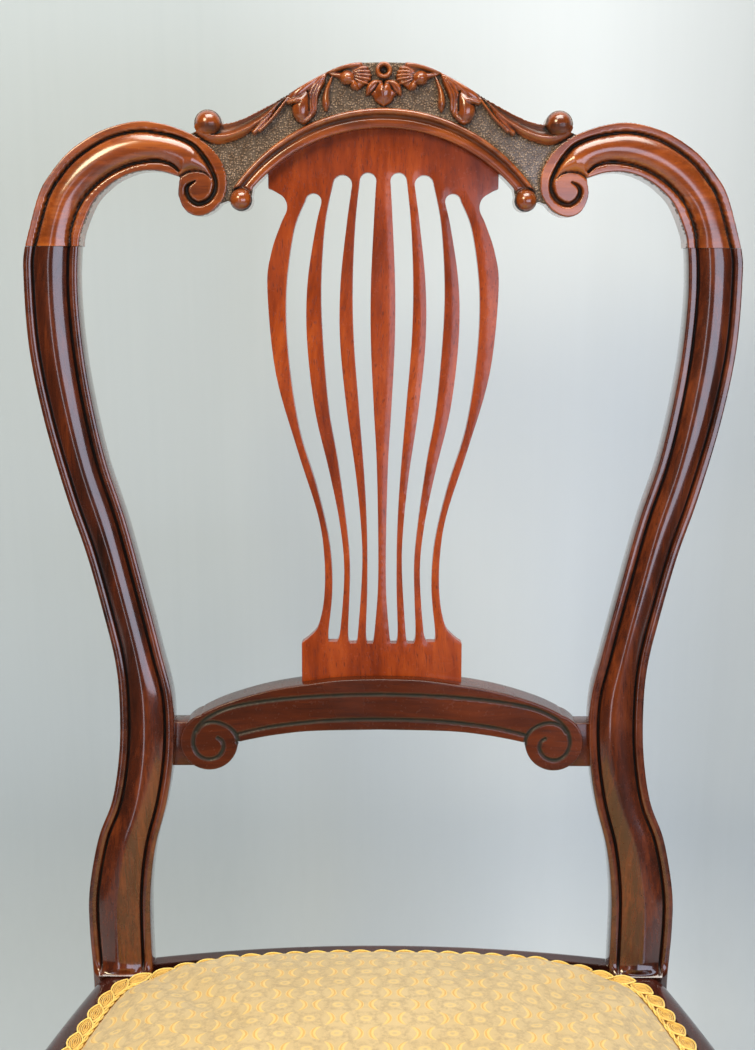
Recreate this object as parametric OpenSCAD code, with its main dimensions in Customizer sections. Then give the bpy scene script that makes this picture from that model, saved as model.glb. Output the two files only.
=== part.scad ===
// Balloon back dining chair with a carved crest, a slotted splat and a stuffed seat.
// Millimetres, Z up, front towards -Y, origin on the floor below the middle of the chair.

/* [Back] */
// Length of the back above the seat rails, measured along its slope
back_h = 530; // [480:1:570]
// Width across the two shoulders of the back
back_w = 403; // [380:1:430]
// Lean of the back from upright, in degrees
back_rake = 10; // [6:0.5:13]
// Thickness of the posts and the crest rail
back_t = 26; // [22:1:30]
// Width of the flat fillet along each edge of the posts
fillet_w = 6.5; // [4:0.5:8]
// Height that the rounded body of the posts stands above the fillets
body_rise = 2.5; // [1:0.5:4]

/* [Crest] */
// Radius of the two large scrolls of the crest
scroll_r = 13.2; // [11:0.1:14]
// Radius of the small balls at the top of the crest
top_ball_r = 6.9; // [5:0.1:8]
// Radius of the small balls below the arch of the crest
low_ball_r = 6.4; // [5:0.1:7]
// Radius of the arch that holds the splat
arch_r = 96.7; // [90:0.1:104]
// Width of the moulding that follows the arch
arch_band_w = 10.5; // [7:0.5:13]
// Depth of the punched ground below the face of the crest
ground_d = 3; // [1:0.5:5]

/* [Splat] */
// Width of the splat at its widest bars
splat_w = 131; // [122:1:138]
// Thickness of the splat
splat_t = 8; // [6:0.5:10]
// Distance of the splat behind the face of the back
splat_set = 9; // [7:0.5:11]
// Length of the tongues at the top and bottom of the splat
tongue_l = 8; // [5:1:10]

/* [Middle rail] */
// Thickness of the middle rail
mid_t = 24; // [20:1:26]
// Radius of the two scrolls of the middle rail
mid_scroll_r = 15.7; // [13:0.1:17]
// Length of the tenons of the middle rail
mid_tenon_l = 15; // [10:1:18]

/* [Seat frame] */
// Height of the top of the seat rails above the floor
rail_top_h = 412; // [385:1:440]
// Depth of the seat from the face of the posts to the middle of the front rail
seat_d = 410; // [380:1:440]
// Width of the seat across its front corners
seat_w = 464; // [440:1:490]
// Width across the side rails where they meet the posts
seat_rear_w = 340; // [332:1:344]
// Height of the seat rails
rail_h = 60; // [52:1:68]
// Thickness of the front and side rails
rail_t = 30; // [27:1:33]
// Thickness of the back rail
back_rail_t = 19; // [17:1:20]
// Sweep of the back rail behind its own ends
back_rail_bow = 13; // [8:1:16]
// Sweep of the front rail before its own ends
front_bow = 18; // [10:1:24]
// Radius of the rounded upper edge of the front and side rails
edge_r = 11; // [7:0.5:11.5]
// Radius of the front corners of the seat
corner_r = 26; // [22:1:30]
// Width of the bare wood between the edge of the seat and the braid
show_w = 12; // [11.5:0.5:14]

/* [Legs] */
// Width of the head of the front legs
leg_w = 46; // [42:1:50]
// Distance that the foot of each back leg stands behind the posts
leg_sweep = 72; // [50:1:85]
// Distance that the foot of each back leg stands further out than its head
leg_splay = 9; // [0:1:12]

/* [Upholstery] */
// Height of the crown of the seat above the braid
seat_crown = 31; // [20:1:40]
// Width of the gimp braid
gimp_w = 11; // [8:0.5:14]
// Thickness of the gimp braid
gimp_t = 2.5; // [1.5:0.5:3]
// Thickness of the seat cover
cover_t = 1.5; // [1:0.1:2]
// Width of the webbing straps
web_w = 50; // [40:1:56]
// Thickness of the webbing straps
web_t = 1.5; // [1:0.1:2]
// Thickness of the hessian over the webbing
hessian_t = 1; // [0.6:0.1:1.5]

/* [Joinery] */
// Diameter of the dowels
dowel_d = 8; // [6:0.5:9]
// Length of each dowel in one piece
dowel_l = 18; // [14:1:20]
// Clearance of a pin or tongue in its hole
joint_gap = 0.15; // [0.1:0.05:0.3]
// Height of the corner blocks
block_h = 30; // [22:1:36]
// Width of the corner blocks
block_w = 24; // [20:1:28]
// Diameter of the shanks of the corner block screws
screw_d = 4; // [3:0.5:5]
// Diameter of the heads of the webbing tacks
tack_head_d = 7; // [5:0.5:8]

/* [Hidden] */

// one overrun serves every cut, and one angle every bent rail
over = 1;
over_a = 1;
round_n = 48;
wide_n = 360;
mahogany = [0.36, 0.12, 0.06];
crest_wood = [0.50, 0.20, 0.08];
beech = [0.72, 0.55, 0.36];

// the back stands on the rails at the face of the posts
back_half = back_w / 2;
back_reach = back_h * sin(back_rake) + back_t * cos(back_rake);
back_y = (seat_d - back_reach) / 2;
rail_low_z = rail_top_h - rail_h;

// outlines of the back: shares of the half width across, and of the length of the back upwards
outer_line_shares = [
    [0.857, -0.030], [0.857, 0.000], [0.865, 0.054], [0.862, 0.099], [0.832, 0.159], [0.788, 0.204],
    [0.764, 0.262], [0.761, 0.321], [0.771, 0.364], [0.799, 0.413], [0.844, 0.481],
    [0.896, 0.543], [0.953, 0.625], [0.990, 0.703], [1.000, 0.777], [0.993, 0.812],
    [0.952, 0.864], [0.856, 0.910], [0.740, 0.935], [0.640, 0.939], [0.560, 0.930],
    [0.504, 0.918], [0.465, 0.900],
];
inner_line_shares = [
    [0.680, -0.030], [0.680, 0.000], [0.683, 0.053], [0.681, 0.099], [0.664, 0.150], [0.628, 0.203],
    [0.606, 0.262], [0.607, 0.320], [0.635, 0.369], [0.672, 0.429], [0.730, 0.518],
    [0.786, 0.588], [0.828, 0.670], [0.847, 0.738], [0.849, 0.788], [0.837, 0.826],
    [0.804, 0.855], [0.717, 0.883], [0.666, 0.889], [0.600, 0.890], [0.552, 0.882],
];
joint_share = 0.811;
scroll_shares = [0.504, 0.870];
top_ball_shares = [0.479, 0.938];
low_ball_shares = [0.393, 0.860];
crest_top_shares = [
    [0.000, 1.000], [0.105, 0.9965], [0.180, 0.984], [0.262, 0.965], [0.350, 0.947],
    [0.442, 0.935], [0.470, 0.929],
];
crest_side_shares = [[0.490, 0.921], [0.500, 0.872], [0.431, 0.858]];
arch_top_share = 0.934;
arch_end_share = 0.324;

mid_top_shares = [
    [0.000, 0.3435], [0.120, 0.3420], [0.234, 0.3360], [0.345, 0.3270],
    [0.430, 0.3160], [0.500, 0.3060], [0.560, 0.2970],
];
mid_low_shares = [
    [0.000, 0.2858], [0.194, 0.2842], [0.300, 0.2800], [0.380, 0.2745],
    [0.430, 0.2700],
];
mid_scroll_shares = [0.501, 0.2705];
// block and tenon at each end of the middle rail: low and high shares of the length of the back
mid_block_shares = [0.246, 0.309];
mid_tenon_shares = [0.254, 0.300];

// splat outline and slots: shares of half its width across, and of its height upwards
splat_line_shares = [
    [0.716, 0.000], [0.716, 0.074], [0.640, 0.086], [0.565, 0.107], [0.515, 0.160],
    [0.512, 0.232], [0.568, 0.313], [0.746, 0.432], [0.933, 0.572], [1.000, 0.722],
    [0.962, 0.786], [0.880, 0.835], [0.826, 0.861], [0.848, 0.880], [0.930, 0.892],
    [0.985, 0.897], [0.985, 1.000],
];
slot_outer_shares = [
    [
        [0.475, 0.076], [0.478, 0.095], [0.442, 0.176], [0.467, 0.262], [0.577, 0.364],
        [0.732, 0.472], [0.822, 0.602], [0.837, 0.717], [0.768, 0.823], [0.668, 0.876],
    ],
    [
        [0.285, 0.073], [0.302, 0.095], [0.285, 0.210], [0.312, 0.288], [0.390, 0.410],
        [0.469, 0.505], [0.522, 0.634], [0.534, 0.729], [0.500, 0.835], [0.432, 0.905],
    ],
    [
        [0.130, 0.073], [0.142, 0.095], [0.131, 0.176], [0.133, 0.275], [0.156, 0.375],
        [0.205, 0.504], [0.251, 0.626], [0.262, 0.728], [0.240, 0.835], [0.200, 0.914],
    ],
];
slot_inner_shares = [
    [
        [0.400, 0.076], [0.370, 0.100], [0.336, 0.208], [0.374, 0.296], [0.467, 0.393],
        [0.591, 0.504], [0.658, 0.627], [0.654, 0.728], [0.584, 0.825], [0.530, 0.873],
    ],
    [
        [0.228, 0.073], [0.212, 0.095], [0.177, 0.210], [0.186, 0.288], [0.234, 0.388],
        [0.313, 0.504], [0.371, 0.626], [0.368, 0.729], [0.314, 0.835], [0.268, 0.903],
    ],
    [
        [0.078, 0.073], [0.062, 0.100], [0.036, 0.176], [0.035, 0.275], [0.050, 0.408],
        [0.076, 0.504], [0.104, 0.626], [0.105, 0.728], [0.082, 0.835], [0.062, 0.907],
    ],
];

// head and foot of the back legs: height share, share of the sweep, share of the thickness at the rail
leg_head_t = back_t * 1.4;
back_leg_shares = [
    [1.000, 0.00, 0.97], [0.860, 0.05, 1.00], [0.640, 0.21, 0.86], [0.380, 0.49, 0.76],
    [0.140, 0.82, 0.70], [0.000, 1.00, 0.67],
];
back_leg_w_shares = [[1.000, 0.00, 1.00], [0.580, 0.02, 0.87], [0.180, 0.65, 0.78], [0.000, 1.00, 0.76]];
// front legs: height share, outward lean, half width and squareness of the section
front_leg_shares = [
    [1.010, -0.02, 0.42, 2.4], [0.985, 0.00, 0.44, 2.6], [0.950, 0.05, 0.48, 2.8],
    [0.900, 0.11, 0.50, 2.8], [0.820, 0.17, 0.47, 2.6], [0.720, 0.16, 0.41, 2.3], [0.600, 0.08, 0.345, 2.1],
    [0.480, -0.02, 0.30, 2.0], [0.360, -0.11, 0.265, 2.0], [0.240, -0.17, 0.245, 2.0],
    [0.140, -0.17, 0.25, 2.0], [0.085, -0.11, 0.29, 2.0], [0.050, -0.03, 0.36, 2.0],
    [0.025, 0.03, 0.41, 2.0], [0.010, 0.05, 0.40, 2.0], [0.000, 0.05, 0.35, 2.0],
];

// where the posts stand on the seat frame
post_in_x = inner_line_shares[0].x * back_half;
post_out_x = outer_line_shares[0].x * back_half;
post_w = post_out_x - post_in_x;
// the back legs are a little wider than the posts that stand on them, and take in their ends
leg_lip = 0.3;
leg_inner_x = post_in_x - leg_lip;
leg_outer_x = post_out_x + leg_lip;

// plan of the seat frame: each rail is an arc, with distances measured forward from the posts
corner_x = seat_w / 2 - corner_r;
corner_f = seat_d - front_bow - corner_r;
corner_lip = 0.3;
side_gain = (seat_w - seat_rear_w) / 2;
side_R = (side_gain * side_gain + corner_f * corner_f) / (2 * side_gain);
side_c = [seat_w / 2 - side_R, corner_f];
front_g = front_bow + corner_r;
front_R = (corner_x * corner_x + front_g * front_g - corner_r * corner_r) / (2 * front_bow);
front_c = [0, seat_d - front_R];
front_a = asin(corner_x / (front_R - corner_r));
back_rail_end = back_t * 0.76;
back_R = (post_in_x * post_in_x + back_rail_bow * back_rail_bow) / (2 * back_rail_bow);
back_c = [0, back_R - back_rail_end - back_rail_bow];

// the seat pad lies in a rebate of the rails, and its hidden layers end inside its edge
pad_gap = 0.3;
layer_in = 1;
back_show_w = show_w / 2;
back_edge_r = back_show_w * 0.8;
tack_head_t = 0.8;
rebate_d = 2 * web_t + tack_head_t + hessian_t + cover_t - pad_gap;
web_z = rail_top_h - rebate_d;
hessian_z = web_z + 2 * web_t + tack_head_t;
cover_z = hessian_z + hessian_t;
gimp_z = cover_z + cover_t;
pad_turn_shares = [[-0.26, -0.27], [0.010, 0.048], [0.365, 0.31], [0.635, 0.67], [0.885, 1.18]];

// the straps lie where their gaps are even
long_web_n = 3;
cross_web_n = 4;
long_web_step = seat_rear_w * 0.26;
cross_web_step = (seat_d - 2 * web_w) / (cross_web_n - 0.4);
cross_web_f = web_w * 1.2;
tack_step = web_w * 0.32;
tack_l = 10;
tack_d = 2;
front_tack_in = (rail_t + show_w) / 2;
back_tack_in = (back_rail_t + back_show_w) / 2;

screw_l = block_w * 1.5;
screw_head_d = screw_d * 2;
block_z = rail_top_h - rebate_d - block_h - tack_l;

// a smooth curve through points, with n steps between two of them
function blend(a, b, c, d, t) =
    (2 * b + (c - a) * t + (2 * a - 5 * b + 4 * c - d) * t * t
        + (3 * b - a - 3 * c + d) * t * t * t) / 2;
function curve(p, n) = [
    for (i = [0:len(p) - 2], k = [0:n - 1])
        blend(p[max(i - 1, 0)], p[i], p[i + 1], p[min(i + 2, len(p) - 1)], k / n),
    p[len(p) - 1],
];
function reversed(p) = [for (i = [len(p) - 1:-1:0]) p[i]];
function sized(shares, w, h) = [for (s = shares) [s.x * w, s.y * h]];
function left_of(a, b) = [a.y - b.y, b.x - a.x] / norm(b - a);
// a line, or a closed loop, moved to its left
function moved(p, d) = [
    for (i = [0:len(p) - 1]) p[i] + d * left_of(p[max(i - 1, 0)], p[min(i + 1, len(p) - 1)])
];
function moved_loop(p, d) = [
    for (i = [0:len(p) - 1])
        p[i] + d * left_of(p[(i + len(p) - 1) % len(p)], p[(i + 1) % len(p)])
];
function fan(c, r, a0, a1, n) = [
    for (i = [0:n]) let (a = a0 + (a1 - a0) * i / n) c + r * [sin(a), cos(a)]
];

// the back slopes: children are drawn on its face, with heights along the slope
module on_back() {
    translate([0, back_y, rail_top_h]) rotate([90 - back_rake, 0, 0]) children();
}
// a slab of the back between two depths behind its face
module slab(front, back) {
    on_back() translate([0, 0, -back]) linear_extrude(back - front) children();
}
module both_sides() {
    children();
    mirror([1, 0, 0]) children();
}

outer_line = curve(sized(outer_line_shares, back_half, back_h), 4);
inner_line = curve(sized(inner_line_shares, back_half, back_h), 4);
joint_s = joint_share * back_h;
scroll_p = [scroll_shares.x * back_half, scroll_shares.y * back_h];
top_ball_p = [top_ball_shares.x * back_half, top_ball_shares.y * back_h];
low_ball_p = [low_ball_shares.x * back_half, low_ball_shares.y * back_h];
arch_c = [0, arch_top_share * back_h - arch_r];
mid_scroll_p = [mid_scroll_shares.x * back_half, mid_scroll_shares.y * back_h];

// the balloon shaped band of one side, from the seat to the scroll, narrowed by an inset
module side_band(inset) {
    polygon(concat(moved(outer_line, inset), reversed(moved(inner_line, -inset))));
}
module below_joint() {
    translate([0, -back_t]) square([back_w, joint_s + back_t]);
}
module above_joint() {
    translate([0, joint_s]) square([back_w, back_h]);
}

// dowels of the joint between crest and post, nearer to the inside, away from the round of the shoulder
joint_mid = (inner_line_shares[14].x + outer_line_shares[15].x) / 2 * back_half - dowel_d / 4;
module crest_dowel_pair(d, l) {
    for (k = [-1, 1]) {
        on_back() translate([joint_mid + k * dowel_d * 0.72, joint_s - l, -back_t / 2])
            rotate([-90, 0, 0]) cylinder(d = d, h = 2 * l, $fn = round_n);
    }
}

module crest_panel() {
    top = curve(sized(crest_top_shares, back_half, back_h), 4);
    side = sized(crest_side_shares, back_half, back_h);
    end_a = asin(arch_end_share * back_half / arch_r);
    low = fan(arch_c, arch_r, end_a, 0, 12);
    both_sides() polygon(concat(reversed(top), reversed(low), reversed(side)));
}
module arch_band(low, high) {
    end_a = asin(low_ball_p.x / (arch_r + arch_band_w));
    polygon(concat(
        fan(arch_c, arch_r + low, -end_a, end_a, 24),
        fan(arch_c, arch_r + high, end_a, -end_a, 24)
    ));
}
module top_band(w) {
    top = curve(sized(crest_top_shares, back_half, back_h), 4);
    both_sides() polygon(concat(top, reversed(moved(top, -w))));
}
module discs(p, r) {
    both_sides() translate(p) circle(r, $fn = round_n);
}
// the top tongue of the splat, and its groove in the crest
module top_tongue(gap) {
    w = splat_w * 0.9 + 2 * gap;
    intersection() {
        translate(arch_c) circle(arch_r + tongue_l + gap, $fn = wide_n);
        translate([-w / 2, arch_c.y + arch_r * 0.6]) square([w, arch_r]);
    }
}

module crest_rail() {
    color(crest_wood) difference() {
        union() {
            slab(0, back_t) both_sides() intersection() { side_band(0); above_joint(); }
            slab(-body_rise, back_t / 2) both_sides() difference() {
                intersection() { side_band(fillet_w); above_joint(); }
                translate(scroll_p) circle(scroll_r + body_rise, $fn = round_n);
            }
            slab(ground_d, back_t) crest_panel();
            slab(0, back_t) arch_band(0, arch_band_w);
            slab(-body_rise, back_t / 2) top_band(arch_band_w);
            slab(-body_rise, back_t) discs(scroll_p, scroll_r);
            slab(-body_rise * 2, back_t / 2) discs(scroll_p, scroll_r / 2);
            slab(-body_rise * 2, back_t * 0.7) discs(top_ball_p, top_ball_r);
            slab(-body_rise * 2, back_t * 0.9) discs(low_ball_p, low_ball_r);
        }
        slab(splat_set - joint_gap, splat_set + splat_t + joint_gap) top_tongue(joint_gap);
        both_sides() crest_dowel_pair(dowel_d + 2 * joint_gap, dowel_l + over);
    }
}
module crest_dowels() {
    color(beech) both_sides() crest_dowel_pair(dowel_d, dowel_l);
}

// side view of a back leg below the top of the rail, front edge then back edge
module leg_side() {
    foot = [for (s = back_leg_shares) [-s.y * leg_sweep, s.x * rail_low_z]];
    heel = [for (s = back_leg_shares) [-s.y * leg_sweep - s.z * leg_head_t, s.x * rail_low_z]];
    polygon(concat(
        [[0, rail_top_h + leg_lip]], curve(foot, 4), reversed(curve(heel, 4)),
        [[-back_t / cos(back_rake) - leg_lip, rail_top_h + leg_lip]]
    ));
}
// front view of a back leg
module leg_front() {
    w = leg_outer_x - leg_inner_x;
    inner = [for (s = back_leg_w_shares) [
        leg_inner_x + leg_splay * s.y + w * (1 - s.z) * 0.4, s.x * rail_low_z]];
    outer = [for (s = back_leg_w_shares) [
        leg_inner_x + leg_splay * s.y + w * (0.4 + s.z * 0.6), s.x * rail_low_z]];
    polygon(concat(
        [[leg_inner_x, rail_top_h + leg_lip]], curve(inner, 4), reversed(curve(outer, 4)),
        [[leg_outer_x, rail_top_h + leg_lip]]
    ));
}
module back_leg() {
    intersection() {
        translate([0, back_y, 0]) rotate([90, 0, -90]) translate([0, 0, -back_w])
            linear_extrude(2 * back_w) leg_side();
        translate([0, back_w, 0]) rotate([90, 0, 0]) linear_extrude(2 * back_w) leg_front();
    }
}
// the tenon of the middle rail, and its mortise in the post
module mid_tenon(gap) {
    low = mid_tenon_shares[0] * back_h - gap;
    high = mid_tenon_shares[1] * back_h + gap;
    x0 = mid_scroll_p.x + mid_scroll_r / 2;
    x1 = inner_line_shares[6].x * back_half + mid_tenon_l + gap;
    slab(mid_t * 0.3 - gap, mid_t * 0.7 + gap) translate([x0, low]) square([x1 - x0, high - low]);
}
module back_post() {
    color(mahogany) difference() {
        union() {
            intersection() {
                union() {
                    slab(0, back_t - body_rise) intersection() { side_band(0); below_joint(); }
                    slab(back_t / 2, back_t) intersection() {
                        side_band(body_rise);
                        below_joint();
                    }
                }
                translate([0, -seat_d, rail_top_h]) cube([back_w, 2 * seat_d, back_h]);
            }
            slab(-body_rise, back_t / 2) intersection() {
                side_band(fillet_w);
                below_joint();
                translate([0, fillet_w]) square([back_w, back_h]);
            }
            back_leg();
        }
        crest_dowel_pair(dowel_d + 2 * joint_gap, dowel_l + over);
        mid_tenon(joint_gap);
        back_joint_dowels(dowel_d + 2 * joint_gap, over);
    }
}
module right_back_post() { back_post(); }
module left_back_post() { mirror([1, 0, 0]) back_post(); }

splat_low_s = mid_top_shares[2].y * back_h;
splat_span = arch_top_share * back_h - splat_low_s;
module splat_outline() {
    side = sized(splat_line_shares, splat_w / 2, splat_span);
    lower = [side[0], side[1]];
    flank = curve([for (i = [1:15]) side[i]], 4);
    edge = concat(lower, flank, [side[16]]);
    translate([0, splat_low_s]) polygon(concat(edge, reversed([for (p = edge) [-p.x, p.y]])));
}
module slots() {
    for (i = [0:2]) {
        outer = curve(sized(slot_outer_shares[i], splat_w / 2, splat_span), 4);
        inner = curve(sized(slot_inner_shares[i], splat_w / 2, splat_span), 4);
        head = (outer[len(outer) - 1] + inner[len(inner) - 1]) / 2;
        half = (outer[len(outer) - 1] - inner[len(inner) - 1]) / 2;
        top = [
            for (k = [1:11]) head + half * cos(15 * k) + [-half.y, half.x] * sin(15 * k)
        ];
        both_sides() translate([0, splat_low_s]) polygon(concat(outer, top, reversed(inner)));
    }
}
// the base tongue of the splat, and its mortise in the middle rail
module base_tongue(gap) {
    w = splat_w * 0.6 + 2 * gap;
    low = splat_low_s - tongue_l - gap;
    translate([-w / 2, low]) square([w, tongue_l * 2]);
}
module splat() {
    color([0.42, 0.13, 0.05]) slab(splat_set, splat_set + splat_t) difference() {
        union() {
            intersection() {
                splat_outline();
                union() {
                    translate(arch_c) circle(arch_r, $fn = wide_n);
                    translate([-splat_w, 0]) square([2 * splat_w, arch_c.y]);
                }
            }
            difference() {
                top_tongue(0);
                translate(arch_c) circle(arch_r - over, $fn = wide_n);
            }
            base_tongue(0);
        }
        slots();
    }
}

module mid_outline() {
    top = curve(sized(mid_top_shares, back_half, back_h), 4);
    low = curve(sized(mid_low_shares, back_half, back_h), 4);
    both_sides() polygon(concat(reversed(top), low, [mid_scroll_p]));
}
module mid_rail() {
    block_low = mid_block_shares[0] * back_h;
    block_high = mid_block_shares[1] * back_h;
    foot_w = splat_line_shares[0].x * splat_w + 2 * joint_gap;
    color(mahogany) difference() {
        union() {
            slab(0, mid_t) mid_outline();
            slab(-body_rise / 2, mid_t) discs(mid_scroll_p, mid_scroll_r);
            both_sides() slab(mid_t * 0.2, mid_t * 0.85) intersection() {
                translate([mid_scroll_p.x, block_low]) square([post_w, block_high - block_low]);
                polygon(concat([[0, 0]], inner_line, [[0, back_h]]));
            }
            both_sides() mid_tenon(0);
        }
        slab(splat_set - joint_gap, splat_set + splat_t + joint_gap) base_tongue(joint_gap);
        slab(splat_set - joint_gap, splat_set + splat_t + joint_gap)
            translate([-foot_w / 2, splat_low_s]) square([foot_w, back_h]);
    }
}

// section of a rail: outer face at zero, rounded upper edge
module rail_section(t, r) {
    difference() {
        translate([-t, 0]) square([t, rail_h]);
        translate([-r, rail_h - r]) difference() {
            square(r + over);
            circle(r, $fn = round_n);
        }
    }
}
// a length of rail bent round a centre, between two angles from +X
module bent_rail(c, R, t, r, a0, a1) {
    translate([c.x, back_y - c.y, rail_low_z]) rotate([0, 0, a0])
        rotate_extrude(angle = a1 - a0, $fn = wide_n) translate([R, 0]) rail_section(t, r);
}
// keeps what lies between two distances forward of the posts
module between(f0, f1) {
    intersection() {
        children();
        translate([-seat_w, back_y - f1, 0]) cube([2 * seat_w, f1 - f0, rail_top_h + over]);
    }
}
module across(x0, x1) {
    intersection() {
        children();
        translate([x0, -seat_d, 0]) cube([x1 - x0, 2 * seat_d, rail_top_h + over]);
    }
}
leg_in_x = seat_w / 2 - leg_w;
leg_in_f = seat_d - front_bow - leg_w;
side_a = asin(corner_f / side_R) + over_a;

// half of the edge of the pad, from the middle of the front to the middle of the back
turn = [for (s = pad_turn_shares) [post_in_x + s.x * post_w, s.y * post_w]];
side_end_f = turn[4].y + post_w * 0.6;
pad_half_line = concat(
    fan(front_c, front_R - show_w, 0, front_a * 0.96, 4),
    fan([corner_x, corner_f], corner_r - show_w, front_a, 90, 4),
    [
        for (i = [1:6]) let (f = corner_f + (side_end_f - corner_f) * i / 6)
            [side_c.x + sqrt(pow(side_R - show_w, 2) - pow(corner_f - f, 2)), f]
    ],
    reversed(curve(turn, 2)),
    [
        for (i = [1:4]) let (x = turn[0].x * (4 - i) / 4)
            [x, back_c.y - sqrt(pow(back_R - back_show_w, 2) - x * x)]
    ]
);
pad_half = [for (p = pad_half_line) [p.x, back_y - p.y]];
pad_line = concat(
    pad_half,
    [for (i = [len(pad_half) - 2:-1:1]) [-pad_half[i].x, pad_half[i].y]]
);
module pad_shape(inset) { polygon(moved_loop(pad_line, inset)); }
module rebate() {
    translate([0, 0, web_z]) linear_extrude(rebate_d + over) pad_shape(-pad_gap);
}

// straps and their tacks
module long_web(k) {
    translate([k * long_web_step - web_w / 2, -seat_d]) square([web_w, 2 * seat_d]);
}
module cross_web(k) {
    translate([-seat_w, back_y - cross_web_f - k * cross_web_step - web_w / 2])
        square([2 * seat_w, web_w]);
}
long_ks = [for (k = [0:long_web_n - 1]) k - (long_web_n - 1) / 2];
cross_ks = [for (k = [0:cross_web_n - 1]) k];
tack_places = [
    for (k = long_ks, j = [-1, 0, 1]) let (x = k * long_web_step + j * tack_step) each [
        [x, back_y - front_c.y - sqrt(pow(front_R - front_tack_in, 2) - x * x), web_z + web_t],
        [x, back_y - back_c.y + sqrt(pow(back_R - back_tack_in, 2) - x * x), web_z + web_t],
    ],
    for (k = cross_ks, j = [-1, 0, 1], side = [-1, 1])
        let (f = cross_web_f + k * cross_web_step + j * tack_step,
            x = side_c.x + sqrt(pow(side_R - front_tack_in, 2) - pow(corner_f - f, 2)))
            [side * x, back_y - f, web_z + 2 * web_t],
];
module tack_holes() {
    for (p = tack_places) translate([p.x, p.y, p.z - tack_l - over])
        cylinder(d = tack_d + 2 * joint_gap, h = tack_l + 2 * over, $fn = round_n);
}
module webbing_tacks() {
    color("gray") for (p = tack_places) translate(p) {
        cylinder(d = tack_head_d, h = tack_head_t, $fn = round_n);
        translate([0, 0, -tack_l]) cylinder(d = tack_d, h = tack_l, $fn = round_n);
    }
}
module webbing_lengthwise() {
    color("tan") difference() {
        translate([0, 0, web_z]) linear_extrude(web_t)
            for (k = long_ks) intersection() { long_web(k); pad_shape(layer_in); }
        tack_holes();
    }
}
module webbing_crosswise() {
    color("tan") difference() {
        translate([0, 0, web_z + web_t]) linear_extrude(web_t)
            for (k = cross_ks) intersection() { cross_web(k); pad_shape(layer_in); }
        tack_holes();
    }
}
module hessian() {
    color([0.66, 0.54, 0.36]) translate([0, 0, hessian_z]) linear_extrude(hessian_t) pad_shape(layer_in);
}

// dowels between the rails and the legs, two in each joint
function rail_dowel_z(k) = rail_low_z + rail_h * (0.26 + k * 0.36);
module lying_dowel(p, dir, d, l0, l1) {
    translate(p) rotate([0, 0, dir]) rotate([0, 90, 0]) translate([0, 0, -l0])
        cylinder(d = d, h = l0 + l1, $fn = round_n);
}
side_dowel_x = seat_rear_w / 2 - rail_t / 2;
front_dowel_y = back_y - front_c.y - sqrt(pow(front_R - rail_t / 2, 2) - leg_in_x * leg_in_x);
module back_joint_dowels(d, spare) {
    for (k = [0, 1]) {
        lying_dowel([side_dowel_x, back_y, rail_dowel_z(k) + dowel_d / 2], 90,
            d, dowel_l + spare, dowel_l + spare);
        lying_dowel([post_in_x, back_y + back_rail_end / 2, rail_dowel_z(k) + dowel_d / 2], 0,
            d, dowel_l + spare, dowel_l * 0.6 + spare);
    }
}
module front_joint_dowels(d, spare) {
    for (k = [0, 1]) {
        lying_dowel([seat_w / 2 - rail_t / 2, back_y - leg_in_f, rail_dowel_z(k)], 90,
            d, dowel_l + spare, dowel_l + spare);
        lying_dowel([leg_in_x, front_dowel_y, rail_dowel_z(k)], 0,
            d, dowel_l + spare, dowel_l + spare);
    }
}
module seat_rail_dowels() {
    color(beech) both_sides() {
        back_joint_dowels(dowel_d, 0);
        front_joint_dowels(dowel_d, 0);
    }
}
module frame_cuts() {
    rebate();
    tack_holes();
    both_sides() {
        back_joint_dowels(dowel_d + 2 * joint_gap, over);
        front_joint_dowels(dowel_d + 2 * joint_gap, over);
    }
    screw_holes();
}

module side_seat_rail() {
    color(mahogany) difference() {
        between(0, leg_in_f) bent_rail(side_c, side_R, rail_t, edge_r, 0, side_a);
        frame_cuts();
    }
}
module right_seat_rail() { side_seat_rail(); }
module left_seat_rail() { mirror([1, 0, 0]) side_seat_rail(); }
module front_seat_rail() {
    color(mahogany) difference() {
        across(-leg_in_x, leg_in_x)
            bent_rail(front_c, front_R, rail_t, edge_r, -90 - front_a, -90 + front_a);
        frame_cuts();
    }
}
module back_seat_rail() {
    a = asin(post_in_x / back_R) + over_a;
    color(mahogany) difference() {
        across(-leg_inner_x, leg_inner_x)
            bent_rail(back_c, back_R, back_rail_t, back_edge_r, 90 - a, 90 + a);
        frame_cuts();
    }
}

// ring of a front leg at one height: a rounded square that leans out along the diagonal
function leg_ring(s, c, n) = let (out = s[1] * leg_w / sqrt(2), half = s[2] * leg_w) [
    for (i = [0:n - 1]) let (a = 360 * i / n, u = cos(a), v = sin(a),
        k = half / pow(pow(abs(u), s[3]) + pow(abs(v), s[3]), 1 / s[3]))
        [c.x + out + k * u, c.y - out + k * v, s[0] * rail_low_z]
];
// a solid through rings of equally many points, from the lowest ring up
function middle(r) = [for (p = r) 1] * r / len(r);
module lofted(rings) {
    m = len(rings);
    n = len(rings[0]);
    pts = concat([for (r = rings) each r], [middle(rings[0]), middle(rings[m - 1])]);
    faces = concat(
        [
            for (j = [0:m - 2], i = [0:n - 1]) let (a = j * n + i, b = j * n + (i + 1) % n) each
                [[a, b + n, b], [a, a + n, b + n]]
        ],
        [for (i = [0:n - 1]) [m * n, i, (i + 1) % n]],
        [for (i = [0:n - 1]) let (t = (m - 1) * n) [m * n + 1, t + (i + 1) % n, t + i]]
    );
    polyhedron(pts, faces);
}
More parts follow.
